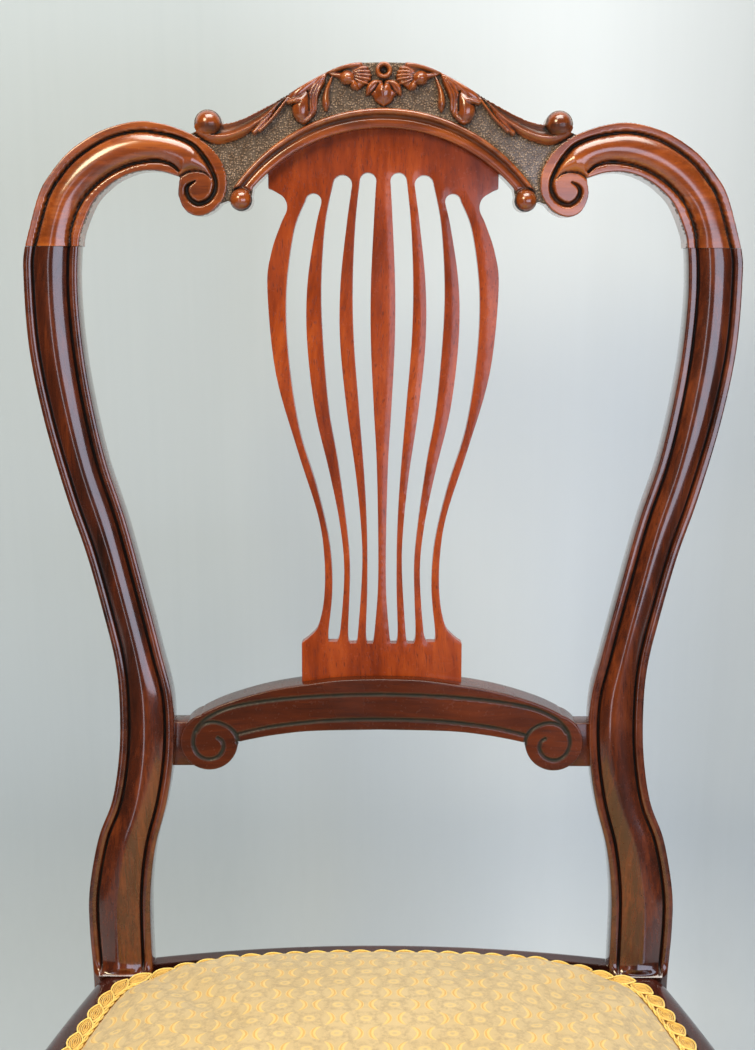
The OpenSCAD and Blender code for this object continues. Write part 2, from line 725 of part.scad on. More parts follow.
// the rounded corner of the head of a front leg, a little proud of the faces beside it
module leg_corner() {
    r = corner_r + corner_lip;
    reach = 2 * corner_r;
    intersection() {
        bent_rail([corner_x, corner_f], r, r, edge_r, 0, 360);
        translate([corner_x, back_y - corner_f, 0]) linear_extrude(rail_top_h + over) polygon([
            [-over, over], [reach * sin(front_a) - over, -reach], [reach, -reach], [reach, over],
        ]);
    }
}
module front_leg() {
    n = 20;
    c = [seat_w / 2 - leg_w / 2, back_y - seat_d + front_bow + leg_w / 2];
    rings = [for (s = curve(front_leg_shares, 2)) leg_ring(s, c, n)];
    color(mahogany) difference() {
        union() {
            between(leg_in_f, corner_f) bent_rail(side_c, side_R, leg_w, edge_r, 0, side_a);
            across(leg_in_x, seat_w)
                bent_rail(front_c, front_R, leg_w, edge_r, -90, -90 + front_a);
            leg_corner();
            lofted(reversed(rings));
        }
        frame_cuts();
    }
}
module right_front_leg() { front_leg(); }
module left_front_leg() { mirror([1, 0, 0]) front_leg(); }

// inside of the seat frame in plan, where the corner blocks are glued
module frame_inside() {
    half = concat(
        fan(front_c, front_R - rail_t, 0, asin(leg_in_x / (front_R - rail_t)), 12),
        [[leg_in_x, leg_in_f]],
        [
            for (i = [0:16]) let (f = leg_in_f * (16 - i) / 16)
                [side_c.x + sqrt(pow(side_R - rail_t, 2) - pow(corner_f - f, 2)), f]
        ],
        [[post_in_x, 0]],
        [
            for (i = [0:8]) let (x = post_in_x * (8 - i) / 8)
                [x, back_c.y - sqrt(pow(back_R - back_rail_t, 2) - x * x)]
        ]
    );
    polygon(concat(
        [for (p = half) [p.x, back_y - p.y]],
        [for (i = [len(half) - 2:-1:1]) [-half[i].x, back_y - half[i].y]]
    ));
}
// middle of each corner block, and the direction that it faces outwards
front_block_p = [leg_in_x - block_w * 0.5, back_y - leg_in_f + block_w * 0.5];
back_block_p = [post_in_x - block_w * 0.4, back_y - block_w * 0.7];
module block_band(p, dir) {
    translate(p) rotate(dir) translate([-block_w / 2, -seat_d]) square([block_w, 2 * seat_d]);
}
module corner_block(p, dir) {
    color(beech) difference() {
        translate([0, 0, block_z]) linear_extrude(block_h) intersection() {
            frame_inside();
            block_band(p, dir);
            translate([0, p.y - seat_d / 4]) square([seat_w, seat_d / 2]);
        }
        screw_holes();
    }
}
module front_right_corner_block() { corner_block(front_block_p, -45); }
module front_left_corner_block() { mirror([1, 0, 0]) corner_block(front_block_p, -45); }
module back_right_corner_block() { corner_block(back_block_p, 45); }
module back_left_corner_block() { mirror([1, 0, 0]) corner_block(back_block_p, 45); }

// a countersunk wood screw through a block, its head flush with the inner face
module screw(p, dir, along, gap) {
    d = screw_d + 2 * gap;
    translate([p.x, p.y, block_z + block_h / 2]) rotate([0, 0, dir])
        translate([-block_w / 2, along, 0]) rotate([0, 90, 0]) {
            cylinder(d1 = screw_head_d + 2 * gap, d2 = d, h = screw_d * 0.75, $fn = round_n);
            cylinder(d = d, h = screw_l + (gap > 0 ? over : 0), $fn = round_n);
        }
}
module corner_screws(gap) {
    both_sides() for (k = [-1, 1]) {
        screw(front_block_p, -45, k * block_w * 0.75, gap);
        screw(back_block_p, 45, k * block_w * 0.75, gap);
    }
}
module screw_holes() { corner_screws(joint_gap); }
module corner_block_screws() { color("goldenrod") corner_screws(0); }

// the domed pad: rings shrink to the middle of the seat and rise with a soft edge
dome_shares = [1, 0.985, 0.955, 0.90, 0.82, 0.70, 0.54, 0.34, 0.14];
dome_c = [0, back_y - seat_d * 0.46];
function dome_rise(r) = pow(1 - pow(r, 2.6), 0.55);
function dome_ring(loop, r, z) = [for (p = loop) let (q = dome_c + (p - dome_c) * r) [q.x, q.y, z]];
function dome_rings(loop, z, h) = [for (r = dome_shares) dome_ring(loop, r, z + h * dome_rise(r))];
module seat_stuffing() {
    loop = moved_loop(pad_line, gimp_w + cover_t + 2 * pad_gap);
    rings = dome_rings(loop, cover_z + cover_t, seat_crown - cover_t - pad_gap);
    color("wheat") lofted(concat([dome_ring(loop, 1, cover_z)], rings));
}
module seat_cover() {
    edge = moved_loop(pad_line, layer_in);
    top = moved_loop(pad_line, gimp_w + pad_gap);
    under = moved_loop(pad_line, gimp_w + cover_t + pad_gap);
    inside = concat(
        [dome_ring(under, 1, cover_z - over)],
        dome_rings(under, cover_z + cover_t, seat_crown - cover_t)
    );
    outside = concat(
        [dome_ring(edge, 1, cover_z), dome_ring(edge, 1, gimp_z)],
        dome_rings(top, gimp_z, seat_crown)
    );
    color([0.84, 0.70, 0.40]) difference() {
        lofted(outside);
        lofted(inside);
    }
}
module gimp_braid() {
    color([0.85, 0.66, 0.20]) translate([0, 0, gimp_z]) linear_extrude(gimp_t) difference() {
        pad_shape(0);
        pad_shape(gimp_w);
    }
}

crest_rail();
left_back_post();
right_back_post();
splat();
mid_rail();
back_seat_rail();
front_seat_rail();
left_seat_rail();
right_seat_rail();
left_front_leg();
right_front_leg();
back_left_corner_block();
back_right_corner_block();
front_left_corner_block();
front_right_corner_block();
corner_block_screws();
crest_dowels();
seat_rail_dowels();
webbing_lengthwise();
webbing_crosswise();
webbing_tacks();
hessian();
seat_stuffing();
seat_cover();
gimp_braid();
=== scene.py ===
import math

import bpy
import numpy as np
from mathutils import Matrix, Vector
from mathutils.geometry import delaunay_2d_cdt


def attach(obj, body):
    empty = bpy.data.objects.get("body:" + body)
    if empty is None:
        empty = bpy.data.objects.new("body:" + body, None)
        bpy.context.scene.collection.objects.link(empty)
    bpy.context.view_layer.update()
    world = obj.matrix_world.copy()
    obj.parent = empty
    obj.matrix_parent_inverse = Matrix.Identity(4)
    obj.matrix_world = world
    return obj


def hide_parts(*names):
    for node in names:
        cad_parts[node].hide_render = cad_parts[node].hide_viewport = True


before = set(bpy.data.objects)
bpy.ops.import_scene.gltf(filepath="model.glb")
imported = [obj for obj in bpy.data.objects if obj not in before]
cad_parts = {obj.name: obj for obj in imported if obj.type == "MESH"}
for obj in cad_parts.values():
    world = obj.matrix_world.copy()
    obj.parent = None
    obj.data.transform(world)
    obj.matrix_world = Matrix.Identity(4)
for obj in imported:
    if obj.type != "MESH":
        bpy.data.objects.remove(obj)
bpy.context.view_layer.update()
mm = 0.001

# the chair's main sizes in millimetres, the same as the solids have
chair = {
    "backLength": 530.0, "backHalf": 201.5, "lean": 10.0, "backThick": 26.0, "jointShare": 0.811,
    "postIn": 0.680, "postWide": 0.177, "archTop": 0.934, "splatLow": 0.3360,
    "railTop": 412.0, "railHeight": 60.0, "seatDepth": 410.0, "seatWidth": 464.0, "rearWidth": 340.0,
    "railThick": 30.0, "backRailThick": 19.0, "backRailBow": 13.0, "frontBow": 18.0, "frontLeg": 46.0,
    "cornerRadius": 26.0, "bareWood": 12.0, "bareWoodBack": 11.0, "edgeRadius": 11.0, "webTop": 406.0,
}
backSize = (chair["backHalf"], chair["backLength"])
leanAngle = math.radians(chair["lean"])
backReach = chair["backLength"] * math.sin(leanAngle) + chair["backThick"] * math.cos(leanAngle)
backY = (chair["seatDepth"] - backReach) / 2
jointHeight = chair["jointShare"] * chair["backLength"]
railLow = chair["railTop"] - chair["railHeight"]
postIn, postWide = chair["postIn"] * chair["backHalf"], chair["postWide"] * chair["backHalf"]
mirror = np.array([-1, 1])


# lines and points in the plane
def onBack(points):
    # (across, up the slope, out of the face) in mm to places in the room in metres
    x, s, h = np.asarray(points, float).T
    y = backY + s * math.sin(leanAngle) - h * math.cos(leanAngle)
    z = chair["railTop"] + s * math.cos(leanAngle) + h * math.sin(leanAngle)
    return np.stack([x, y, z], 1) * mm


def smoothLine(points, steps):
    p = np.asarray(points, float)
    n = len(p)
    out = []
    for i in range(n - 1):
        a, b, c, d = p[max(i - 1, 0)], p[i], p[i + 1], p[min(i + 2, n - 1)]
        for k in range(steps):
            t = k / steps
            out.append((2 * b + (c - a) * t + (2 * a - 5 * b + 4 * c - d) * t * t
                        + (3 * b - a - 3 * c + d) * t ** 3) / 2)
    out.append(p[-1])
    return np.array(out)


def sized(shares, size):
    # shares of a width and a height to millimetres
    return np.array(shares) * size


def evenly(line, step, closed=False):
    # the same line with its points about a step apart
    p = np.asarray(line, float)
    if closed:
        p = np.vstack([p, p[:1]])
    run = np.r_[0, np.cumsum(np.linalg.norm(np.diff(p, axis=0), axis=1))]
    n = max(2, int(round(run[-1] / step)))
    t = np.linspace(0, run[-1], n + 1)
    if closed:
        t = t[:-1]
    return np.stack([np.interp(t, run, p[:, k]) for k in range(p.shape[1])], 1)


def arc(c, r, a0, a1, n):
    a = np.radians(np.linspace(a0, a1, n + 1))
    return np.stack([c[0] + r * np.cos(a), c[1] + r * np.sin(a)], 1)


def archLine(half, r, c, n):
    # round the top of a circle about (0, c), from half across to the middle
    a = np.linspace(math.asin(half / r), 0, n)
    return np.stack([r * np.sin(a), c + r * np.cos(a)], 1)


def unit(values):
    return np.clip(values, 0, 1)


def bulge(t):
    # 0 at both ends, 1 half way
    return np.sin(unit(t) * math.pi)


def tiles(points, size, rows=(0, 1)):
    key = np.floor(points[:, rows] / size).astype(np.int64)
    key = key @ np.array([100003, 1][-len(rows):])
    order = np.argsort(key, kind="stable")
    cuts = np.where(np.diff(key[order]))[0] + 1
    return [ids for ids in np.split(order, cuts) if len(ids)]


def nearLine(points, line, widths=None, closed=False, tile=9.0, radius=6.4):
    # distance of each point from a line, and the line's width at the nearest place
    p = np.asarray(line, float)
    w = np.zeros(len(p)) if widths is None else np.asarray(widths, float)
    if closed:
        p, w = np.vstack([p, p[:1]]), np.r_[w, w[:1]]
    best, wide = np.full(len(points), 1e9), np.zeros(len(points))
    a, ab = p[:-1], p[1:] - p[:-1]
    ll = np.maximum((ab ** 2).sum(1), 1e-12)
    mid, halfLong = a + ab / 2, np.sqrt(ll) / 2
    for ids in tiles(points, tile):
        centre = (np.floor(points[ids[0]] / tile) + 0.5) * tile
        far = np.linalg.norm(mid - centre, axis=1)
        near = np.where(far <= far.min() + 2 * radius + halfLong)[0]
        q = points[ids]
        t = unit(((q[:, None] - a[None, near]) * ab[None, near]).sum(2) / ll[near])
        d = np.linalg.norm(q[:, None] - a[None, near] - t[..., None] * ab[None, near], axis=2)
        i = d.argmin(1)
        rows = np.arange(len(q))
        best[ids] = d[rows, i]
        wide[ids] = w[near[i]] + t[rows, i] * (w[near[i] + 1] - w[near[i]])
    return best, wide


def fromLine(points, line, closed=False):
    return nearLine(points, np.asarray(line)[:, :2], closed=closed)[0]


def fromLines(points, lines, closed=False):
    return np.min([fromLine(points, line, closed) for line in lines], axis=0)


def inLoop(points, loop):
    p = np.asarray(loop, float)
    q = np.roll(p, -1, 0)
    low, high = np.minimum(p[:, 1], q[:, 1]), np.maximum(p[:, 1], q[:, 1])
    out = np.zeros(len(points), bool)
    for ids in tiles(points, 2.0, (1,)):
        y = points[ids, 1]
        e = np.where((low <= y.max()) & (high >= y.min()) & (high > low))[0]
        if not len(e):
            continue
        x, y = points[ids, 0][:, None], y[:, None]
        up = (p[None, e, 1] > y) != (q[None, e, 1] > y)
        cut = p[None, e, 0] + (y - p[None, e, 1]) * (q - p)[None, e, 0] / (q - p)[None, e, 1]
        out[ids] = (up & (x < cut)).sum(1) % 2 == 1
    return out


def inside(points, loops):
    # in the first loop and in none of the others
    keep = inLoop(points, loops[0])
    for hole in loops[1:]:
        keep &= ~inLoop(points, hole)
    return keep


def polygonTurn(loop):
    q = np.roll(loop, -1, 0)
    return (loop[:, 0] * q[:, 1] - q[:, 0] * loop[:, 1]).sum()


def shiftedLoop(loop, d):
    # a closed loop drawn in by d
    t = np.roll(loop, -1, 0) - np.roll(loop, 1, 0)
    t /= np.maximum(np.linalg.norm(t, axis=1), 1e-9)[:, None]
    return loop + d * np.stack([-t[:, 1], t[:, 0]], 1)


def mirroredLoop(half):
    # against the clock, with the points on the middle line once
    right = half[1:-1]
    loop = np.vstack([half[:1], right, half[-1:], right[::-1] * mirror])
    return loop[::-1] if polygonTurn(loop) < 0 else loop


# meshes
def setAll(thing, values):
    for key, value in values.items():
        setattr(thing, key, value)
    return thing


def newPiece(name, verts, faces, edges=()):
    mesh = bpy.data.meshes.new(name)
    mesh.from_pydata([tuple(v) for v in verts], list(edges), [tuple(f) for f in faces])
    mesh.shade_smooth()
    return shown(name, mesh)


def shown(name, data):
    obj = bpy.data.objects.new(name, data)
    bpy.context.scene.collection.objects.link(obj)
    return obj


def evaluated(piece):
    return piece.evaluated_get(bpy.context.evaluated_depsgraph_get())


def applied(piece):
    # the modifiers worked into the mesh
    bpy.context.view_layer.update()
    piece.data = bpy.data.meshes.new_from_object(evaluated(piece))
    piece.modifiers.clear()
    return piece.data


def makePiece(name, verts, faces, replaced=(), material=None, marks=None, sharp=None):
    piece = newPiece(name, verts, faces)
    piece.data.validate()
    for key, values in (marks or {}).items():
        mark = piece.data.attributes.new(key, "FLOAT", "POINT")
        mark.data.foreach_set("value", np.asarray(values, np.float32))
    finishPiece(piece, replaced, material)
    if sharp:
        piece.data.set_sharp_from_angle(angle=math.radians(sharp))
    return piece


def finishPiece(piece, replaced=(), material=None):
    if material:
        piece.data.materials.clear()
        piece.data.materials.append(material)
    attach(piece, "root")
    if replaced:
        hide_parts(*replaced)


def tubeFaces(count, n, flip=False):
    # walls of a tube of count rings with n points each, and its two ends
    faces = []
    for first in range(0, (count - 1) * n, n):
        for i in range(n):
            a, b = first + i, first + (i + 1) % n
            faces.append((a, b, b + n, a + n))
    faces += [tuple(range(n))[::-1], tuple((count - 1) * n + i for i in range(n))]
    return [f[::-1] for f in faces] if flip else faces


# carved pieces: a face with a height at each point, on a flat back
def triangulated(loops, extra):
    # points and triangles between the loops, and which points are the loops' own
    verts, edges = [], []
    for loop in loops:
        first = len(verts)
        verts += [Vector(p) for p in loop]
        edges += [(first + i, first + (i + 1) % len(loop)) for i in range(len(loop))]
    rim = len(verts)
    verts += [Vector(p) for p in extra]
    v, _, f, vo, _, _ = delaunay_2d_cdt(verts, edges, [], 0, 1e-7)
    v = np.array([tuple(p) for p in v])
    f = np.array([t for t in f if len(t) == 3])
    f = f[inside(v[f].mean(1), loops)]
    a, b, c = v[f[:, 0]], v[f[:, 1]], v[f[:, 2]]
    turn = (b - a)[:, 0] * (c - a)[:, 1] - (b - a)[:, 1] * (c - a)[:, 0]
    f[turn < 0] = f[turn < 0][:, ::-1]
    f = f[np.abs(turn) > 1e-9]
    place = {old: new for new, olds in enumerate(vo) for old in olds}
    return v, f, [place[i] for i in range(rim)]


def filling(loops, spacing, clear, within=None):
    # a grid of points inside the loops, clear of their lines
    lo, hi = loops[0].min(0), loops[0].max(0)
    xs = np.arange(lo[0], hi[0], spacing)
    ys = np.arange(lo[1], hi[1], spacing * 0.866)
    gx, gy = np.meshgrid(xs, ys)
    gx = gx + (np.arange(len(ys)) % 2)[:, None] * spacing / 2
    g = np.c_[gx.ravel(), gy.ravel()]
    if within is not None:
        g = g[within(g)]
    g = g[inside(g, loops)]
    for loop in loops:
        g = g[fromLine(g, loop, True) > clear]
    return g


def carved(name, loops, heightAt, s, replaced, material, lines=(), within=None, free=None, sharp=None):
    # loops: the outline against the clock, then holes; heightAt gives the height and the marks of points
    loops = [evenly(loop, s["rimStep"], closed=True) for loop in loops]
    ease, spacing = s["ease"], s["spacing"]
    clear = 1.3 * ease + spacing * 0.5

    def fromRim(points):
        # the ends that join another piece aren't eased
        return fromLines(points, loops, True) if free is None else fromLines(points, free)

    rings = []
    for loop in loops:
        for d in (0.3, 0.75, 1.3):
            ring = shiftedLoop(loop, d * ease)
            rings.append(ring[inside(ring, loops) & (fromLines(ring, loops, True) > d * ease * 0.93)])
    grid = filling(loops, spacing, clear, within)
    if within is not None:
        grid = np.vstack([grid, filling(loops, s["coarse"], clear, lambda g: ~within(g))])
    for line in lines:
        line = evenly(line, spacing)
        line = line[inLoop(line, loops[0])]
        if len(line):
            line = line[fromLine(line, loops[0], True) > 1.4 * ease]
        if len(line) > 1:
            grid = np.vstack([grid[fromLine(grid, line) > spacing * 0.55], line])
    v, f, rim = triangulated(loops, np.vstack(rings + [grid]))
    h, marks = heightAt(v)
    rounding = lambda points, size: size * (1 - np.sqrt(1 - unit(1 - fromRim(points) / size) ** 2))
    top = np.c_[v, h - rounding(v, ease)]
    # the back is coarser, with rounded edges
    bv, bf, brim = triangulated(loops, filling(loops, s["backSpacing"], s["backSpacing"] * 0.5))
    under = np.c_[bv, s["back"] + rounding(bv, s["backEase"])]
    verts, n = [top, under], len(top)
    total = n + len(under)
    faces = [f, bf[:, ::-1] + n]
    at = 0
    for loop in loops:
        k = len(loop)
        ids, low = rim[at:at + k], brim[at:at + k]
        walls = [ids]
        for share in (0.12, 0.5, 0.88):
            walls.append(range(total, total + k))
            verts.append(top[ids] * (1 - share) + under[low] * share)
            total += k
        walls.append([n + j for j in low])
        wise = polygonTurn(loop)
        for a, b in zip(walls[:-1], walls[1:]):
            for i in range(k):
                j = (i + 1) % k
                quad = [a[i], b[i], b[j]], [a[i], b[j], a[j]]
                faces.append(np.array(quad if wise > 0 else [t[::-1] for t in quad]))
        at += k
    full = {key: np.r_[val, np.zeros(total - n)] for key, val in marks.items()}
    print("piece", name, "points", total, "triangles", sum(len(x) for x in faces))
    return makePiece(name, onBack(np.vstack(verts)), np.vstack(faces), replaced, material, full, sharp)


def roundStroke(points, h, line, base, rise):
    # a tapered, rounded ridge along a line of (across, up, half width)
    p = np.asarray(line, float)
    if len(p) > 2:
        p = smoothLine(p, 5)
    d, w = nearLine(points, p[:, :2], p[:, 2])
    k = unit(1 - (d / np.maximum(w, 0.05)) ** 2)
    up = base + rise * np.sqrt(unit(w / p[:, 2].max())) * k ** 0.5
    return np.where(k > 0, np.maximum(h, up), h)


def cutStroke(points, h, line, depth):
    # a groove along such a line
    p = np.asarray(line, float)
    d, r = nearLine(points, p[:, :2], p[:, 2])
    return h - depth * unit(1 - (d / np.maximum(r, 0.05)) ** 2) ** 0.8


def cavities(points, h, cell=1.2, rounds=3):
    # how far each point lies below what is round it
    i, j = ((points - (points.min(0) - 4 * cell)) / cell).astype(int).T
    total, count = np.zeros((2, i.max() + 6, j.max() + 6))
    np.add.at(total, (i, j), h)
    np.add.at(count, (i, j), 1)
    for _ in range(rounds):
        total, count = (sum(np.roll(np.roll(x, a, 0), b, 1) for a in (-1, 0, 1) for b in (-1, 0, 1))
                        for x in (total, count))
    return (total / np.maximum(count, 1e-9))[i, j] - h


# shader helpers
def tint(r, g, b):
    # a colour as a painter's program shows it to a linear one
    return tuple(((c / 255 + 0.055) / 1.055) ** 2.4 if c > 10 else c / 255 / 12.92 for c in (r, g, b)) + (1.0,)


def feed(node, values):
    # plugs wires into a node's inputs and sets plain values
    for key, value in values.items():
        value = getattr(value, "socket", value)
        if isinstance(value, bpy.types.NodeSocket):
            node.id_data.links.new(value, node.inputs[key])
        else:
            node.inputs[key].default_value = value


def addNode(tree, kind, inputs=None, **settings):
    n = setAll(tree.nodes.new(kind), settings)
    feed(n, inputs or {})
    return n


class Wire:
    # a node's output that can be reckoned with: a * b + 1 adds the Math nodes
    def __init__(self, socket):
        self.socket, self.tree = socket, socket.id_data

    def __add__(self, other):
        return maths("ADD", self, other)

    def __sub__(self, other):
        return maths("SUBTRACT", self, other)

    def __rsub__(self, other):
        return maths("SUBTRACT", other, self)

    def __mul__(self, other):
        return maths("MULTIPLY", self, other)

    def __truediv__(self, other):
        return maths("DIVIDE", self, other)

    def __rtruediv__(self, other):
        return maths("DIVIDE", other, self)

    def __pow__(self, other):
        return maths("POWER", self, other)

    def __abs__(self):
        return maths("ABSOLUTE", self)


def maths(operation, *values, clamp=False):
    tree = [value for value in values if isinstance(value, Wire)][0].tree
    return wireOf(tree, "ShaderNodeMath", dict(enumerate(values)), operation=operation, use_clamp=clamp)


def longSide(a, b):
    return maths("SQRT", a * a + b * b)


def wireOf(tree, kind, inputs=None, output=0, **settings):
    return Wire(addNode(tree, kind, inputs, **settings).outputs[output])


def noise(at, scale, detail, roughness=0.5, output=0):
    return wireOf(at.tree, "ShaderNodeTexNoise",
                  {"Vector": at, "Scale": scale, "Detail": detail, "Roughness": roughness}, output)


def swayed(at, scale, reach):
    # the coordinates pushed about by soft noise
    push = wireOf(at.tree, "ShaderNodeVectorMath", {0: noise(at, scale, 2.0, output="Color"), 1: (reach, reach, 0.0)},
                  operation="MULTIPLY")
    return wireOf(at.tree, "ShaderNodeVectorMath", {0: at, 1: push}, operation="ADD")


def mapped(at, **place):
    return wireOf(at.tree, "ShaderNodeMapping", dict(place, Vector=at))


def parts(at):
    return [Wire(s) for s in addNode(at.tree, "ShaderNodeSeparateXYZ", {0: at}).outputs]


def attribute(tree, name):
    return wireOf(tree, "ShaderNodeAttribute", output="Fac", attribute_name=name)


def blendColour(factor, a, b):
    return wireOf(factor.tree, "ShaderNodeMix", {0: factor, 6: a, 7: b}, 2, data_type="RGBA")


def spread(value, low, high, a=0.0, b=1.0):
    return wireOf(value.tree, "ShaderNodeMapRange", {0: value, 1: low, 2: high, 3: a, 4: b}, clamp=True)


def bumped(height, strength, distance, under=None):
    inputs = {"Height": height, "Strength": strength, "Distance": distance}
    return wireOf(height.tree, "ShaderNodeBump", dict(inputs, Normal=under) if under else inputs)


def newTree(name, kind, inputs, outputs):
    # a node group, its inputs by name, and its output node
    tree = bpy.data.node_groups.new(name, kind + "NodeTree")
    for way, sockets in (("INPUT", inputs), ("OUTPUT", outputs)):
        for label, socketKind, *value in sockets:
            s = tree.interface.new_socket(name=label, in_out=way, socket_type="NodeSocket" + socketKind)
            if value:
                s.default_value = value[0]
    given = tree.nodes.new("NodeGroupInput")
    return tree, {s.name: Wire(s) for s in given.outputs if s.name}, tree.nodes.new("NodeGroupOutput")


def useGroup(group, inputs):
    n = inputs["Vector"].tree.nodes.new("ShaderNodeGroup")
    n.node_tree = group
    feed(n, inputs)
    return {s.name: Wire(s) for s in n.outputs}


def newMaterial(name):
    # a material, the coordinates on the piece, and its shader
    m = bpy.data.materials.new(name)
    m.use_nodes = True
    t = m.node_tree
    t.nodes.clear()
    shader = addNode(t, "ShaderNodeBsdfPrincipled")
    addNode(t, "ShaderNodeOutputMaterial", {0: Wire(shader.outputs[0])})
    return m, wireOf(t, "ShaderNodeTexCoord", output="Object"), shader


def makeGrainGroup():
    # streaks and pores along Z of the coordinates that come in, in metres
    g, given, out = newTree("Wood Grain", "Shader", [("Vector", "Vector"), ("Figure", "Float", 1.0)],
                            [("Tone", "Float"), ("Pores", "Float"), ("Height", "Float")])
    at = given["Vector"]
    bent = swayed(at, 7.0, 0.02)
    wide = mapped(bent, Scale=(1, 1, 0.09))
    fine = noise(wide, 420.0, 3.0, 0.6)
    tone = noise(wide, 70.0, 4.0, 0.6) * 0.5 + fine * 0.22 + noise(at, 14.0, 3.0) * 0.28
    pores = spread(noise(mapped(bent, Scale=(1, 1, 0.045)), 1500.0, 1.0), 0.60, 0.72) * given["Figure"]
    feed(out, {"Tone": spread(tone, 0.36, 0.64), "Pores": pores, "Height": fine * 0.25 - pores * 0.5})
    return g


def makeShadeAndWearGroup():
    # old polish: darker where the surface is hollow, dirt and painted shade, and lighter on its rims, painted highlight
    # and wear
    g, given, out = newTree("Polish Shade And Wear", "Shader", [
        ("Colour", "Color", (0.2, 0.05, 0.02, 1)), ("Dirt Colour", "Color", (0.01, 0.008, 0.006, 1)),
        ("Rim Colour", "Color", (0.4, 0.15, 0.05, 1)), ("Dirt", "Float", 1.0), ("Rim", "Float", 0.5),
        ("Vector", "Vector")], [("Colour", "Color"), ("Roughness", "Float"), ("Height", "Float")])
    at = given["Vector"]
    blot, wave = noise(at, 130.0, 4.0, 0.65), noise(at, 28.0, 2.0)
    # hollows blend towards the grime colour: dirt and painted shade
    grimeAndShade = maths("MULTIPLY", attribute(g, "recess") * given["Dirt"], spread(blot, 0.25, 0.5, 0.55, 1.0), clamp=True)
    # worn: rims blend towards the rim colour, painted highlight with some wear
    worn = maths("MULTIPLY", attribute(g, "rim") * given["Rim"], spread(blot, 0.42, 0.62), clamp=True)
    colour = blendColour(worn, blendColour(grimeAndShade, given["Colour"], given["Dirt Colour"]), given["Rim Colour"])
    rough = grimeAndShade * 0.4 + spread(wave, 0.3, 0.7, 0.2, 0.3) + spread(noise(at, 420.0, 2.0), 0.62, 0.75) * 0.12
    feed(out, {"Colour": colour, "Roughness": rough, "Height": wave})
    return g


def woodMaterial(name, s):
    m, at, shader = newMaterial(name)
    turned = mapped(at, Rotation=[math.radians(a) for a in s.get("turn", (0, 0, 0))])
    grain = useGroup(grainGroup, {"Vector": turned, "Figure": s.get("pores", 0.6)})
    ramp = addNode(at.tree, "ShaderNodeValToRGB", {"Fac": grain["Tone"]})
    ramp.color_ramp.elements.new(0.5)
    for stop, key in zip(ramp.color_ramp.elements, ("dark", "middle", "light")):
        stop.color = tint(*s[key])
    # hollows darker and rims lighter from the piece's marks: painted shade and painted highlight, with dirt and wear
    shadedAndWorn = useGroup(shadeAndWearGroup, {
        "Colour": blendColour(grain["Pores"] * 0.7, Wire(ramp.outputs[0]), tint(*s["pore"])),
        "Dirt Colour": tint(*s["grimeAndShade"]), "Rim Colour": tint(*s["rim"]), "Dirt": 1.0, "Rim": 0.4, "Vector": at})
    colour, rough = shadedAndWorn["Colour"], shadedAndWorn["Roughness"]
    normal = bumped(shadedAndWorn["Height"], 0.35, 0.0012, bumped(grain["Height"], 0.18, 0.0004))
    if "ground" in s:
        # the punched ground between the carved leaves; the dark net between its dots is painted shade in the punch
        # marks
        ground = attribute(at.tree, "ground")
        dot = wireOf(at.tree, "ShaderNodeTexVoronoi", {"Vector": at, "Scale": 760.0, "Randomness": 0.8}, "Distance")
        spot = spread(dot, 0.12, 0.6)
        low, high, deep = [tint(*c) for c in s["ground"]]
        between = blendColour(spread(noise(at, 260.0, 3.0), 0.35, 0.65), low, high)
        colour = blendColour(ground, colour, blendColour(spot * 0.82, between, deep))
        rough = rough + ground * 0.06
        normal = bumped(spot * -1.0 * ground, 1.0, 0.0011, normal)
    feed(shader, {
        "Base Color": colour, "Roughness": rough, "Normal": normal, "IOR": 1.42, "Specular IOR Level": 0.32,
        "Coat Weight": spread(attribute(at.tree, "recess"), 0.0, 0.8, s["coat"], s["coat"] * 0.15),
        "Coat Roughness": s.get("coatRough", 0.09), "Coat IOR": s.get("coatIor", 1.62)})
    return m


grainGroup = makeGrainGroup()
shadeAndWearGroup = makeShadeAndWearGroup()

# tones of each wood: the grime colour darkens hollows (dirt and painted shade), the rim colour lightens edges (painted
# highlight and wear), and the last ground colour is painted shade in the punch marks
woodTones = {
    "crest": {
        "dark": (79, 33, 9), "middle": (130, 59, 15), "light": (174, 91, 28), "pore": (55, 23, 8),
        "grimeAndShade": (24, 18, 10), "rim": (176, 104, 52), "turn": (0, 90, 0), "pores": 0.35,
        "ground": [(154, 124, 98), (194, 166, 140), (46, 38, 27)], "coat": 1.0, "coatIor": 1.68, "coatRough": 0.16,
    },
    "post": {
        "dark": (34, 15, 7), "middle": (72, 29, 11), "light": (118, 53, 18), "pore": (26, 11, 6),
        "grimeAndShade": (12, 9, 7), "rim": (112, 58, 32), "coat": 1.0,
    },
    "midRail": {
        "dark": (50, 20, 8), "middle": (74, 31, 12), "light": (100, 44, 17), "pore": (36, 14, 7),
        "grimeAndShade": (34, 34, 26), "rim": (132, 76, 38), "turn": (0, 90, 0), "coat": 0.35,
    },
    "splat": {
        "dark": (100, 36, 10), "middle": (137, 54, 15), "light": (166, 74, 24), "pore": (72, 24, 9),
        "grimeAndShade": (46, 22, 14), "rim": (178, 96, 54), "coat": 0.3, "pores": 0.9,
    },
    "rail": {
        "dark": (34, 15, 12), "middle": (56, 24, 18), "light": (78, 34, 24), "pore": (26, 11, 9),
        "grimeAndShade": (18, 11, 9), "rim": (112, 62, 46), "turn": (0, 90, 0), "coat": 0.8,
    },
    "beech": {
        "dark": (168, 128, 84), "middle": (190, 152, 106), "light": (206, 172, 126), "pore": (120, 84, 50),
        "grimeAndShade": (90, 66, 44), "rim": (214, 186, 146), "coat": 0.0, "pores": 0.4,
    },
}
woodTones["sideRail"] = dict(woodTones["rail"], turn=(90, 0, 0))
woods = {key: woodMaterial("wood " + key, tones) for key, tones in woodTones.items()}
print("stage: wood finishes made")

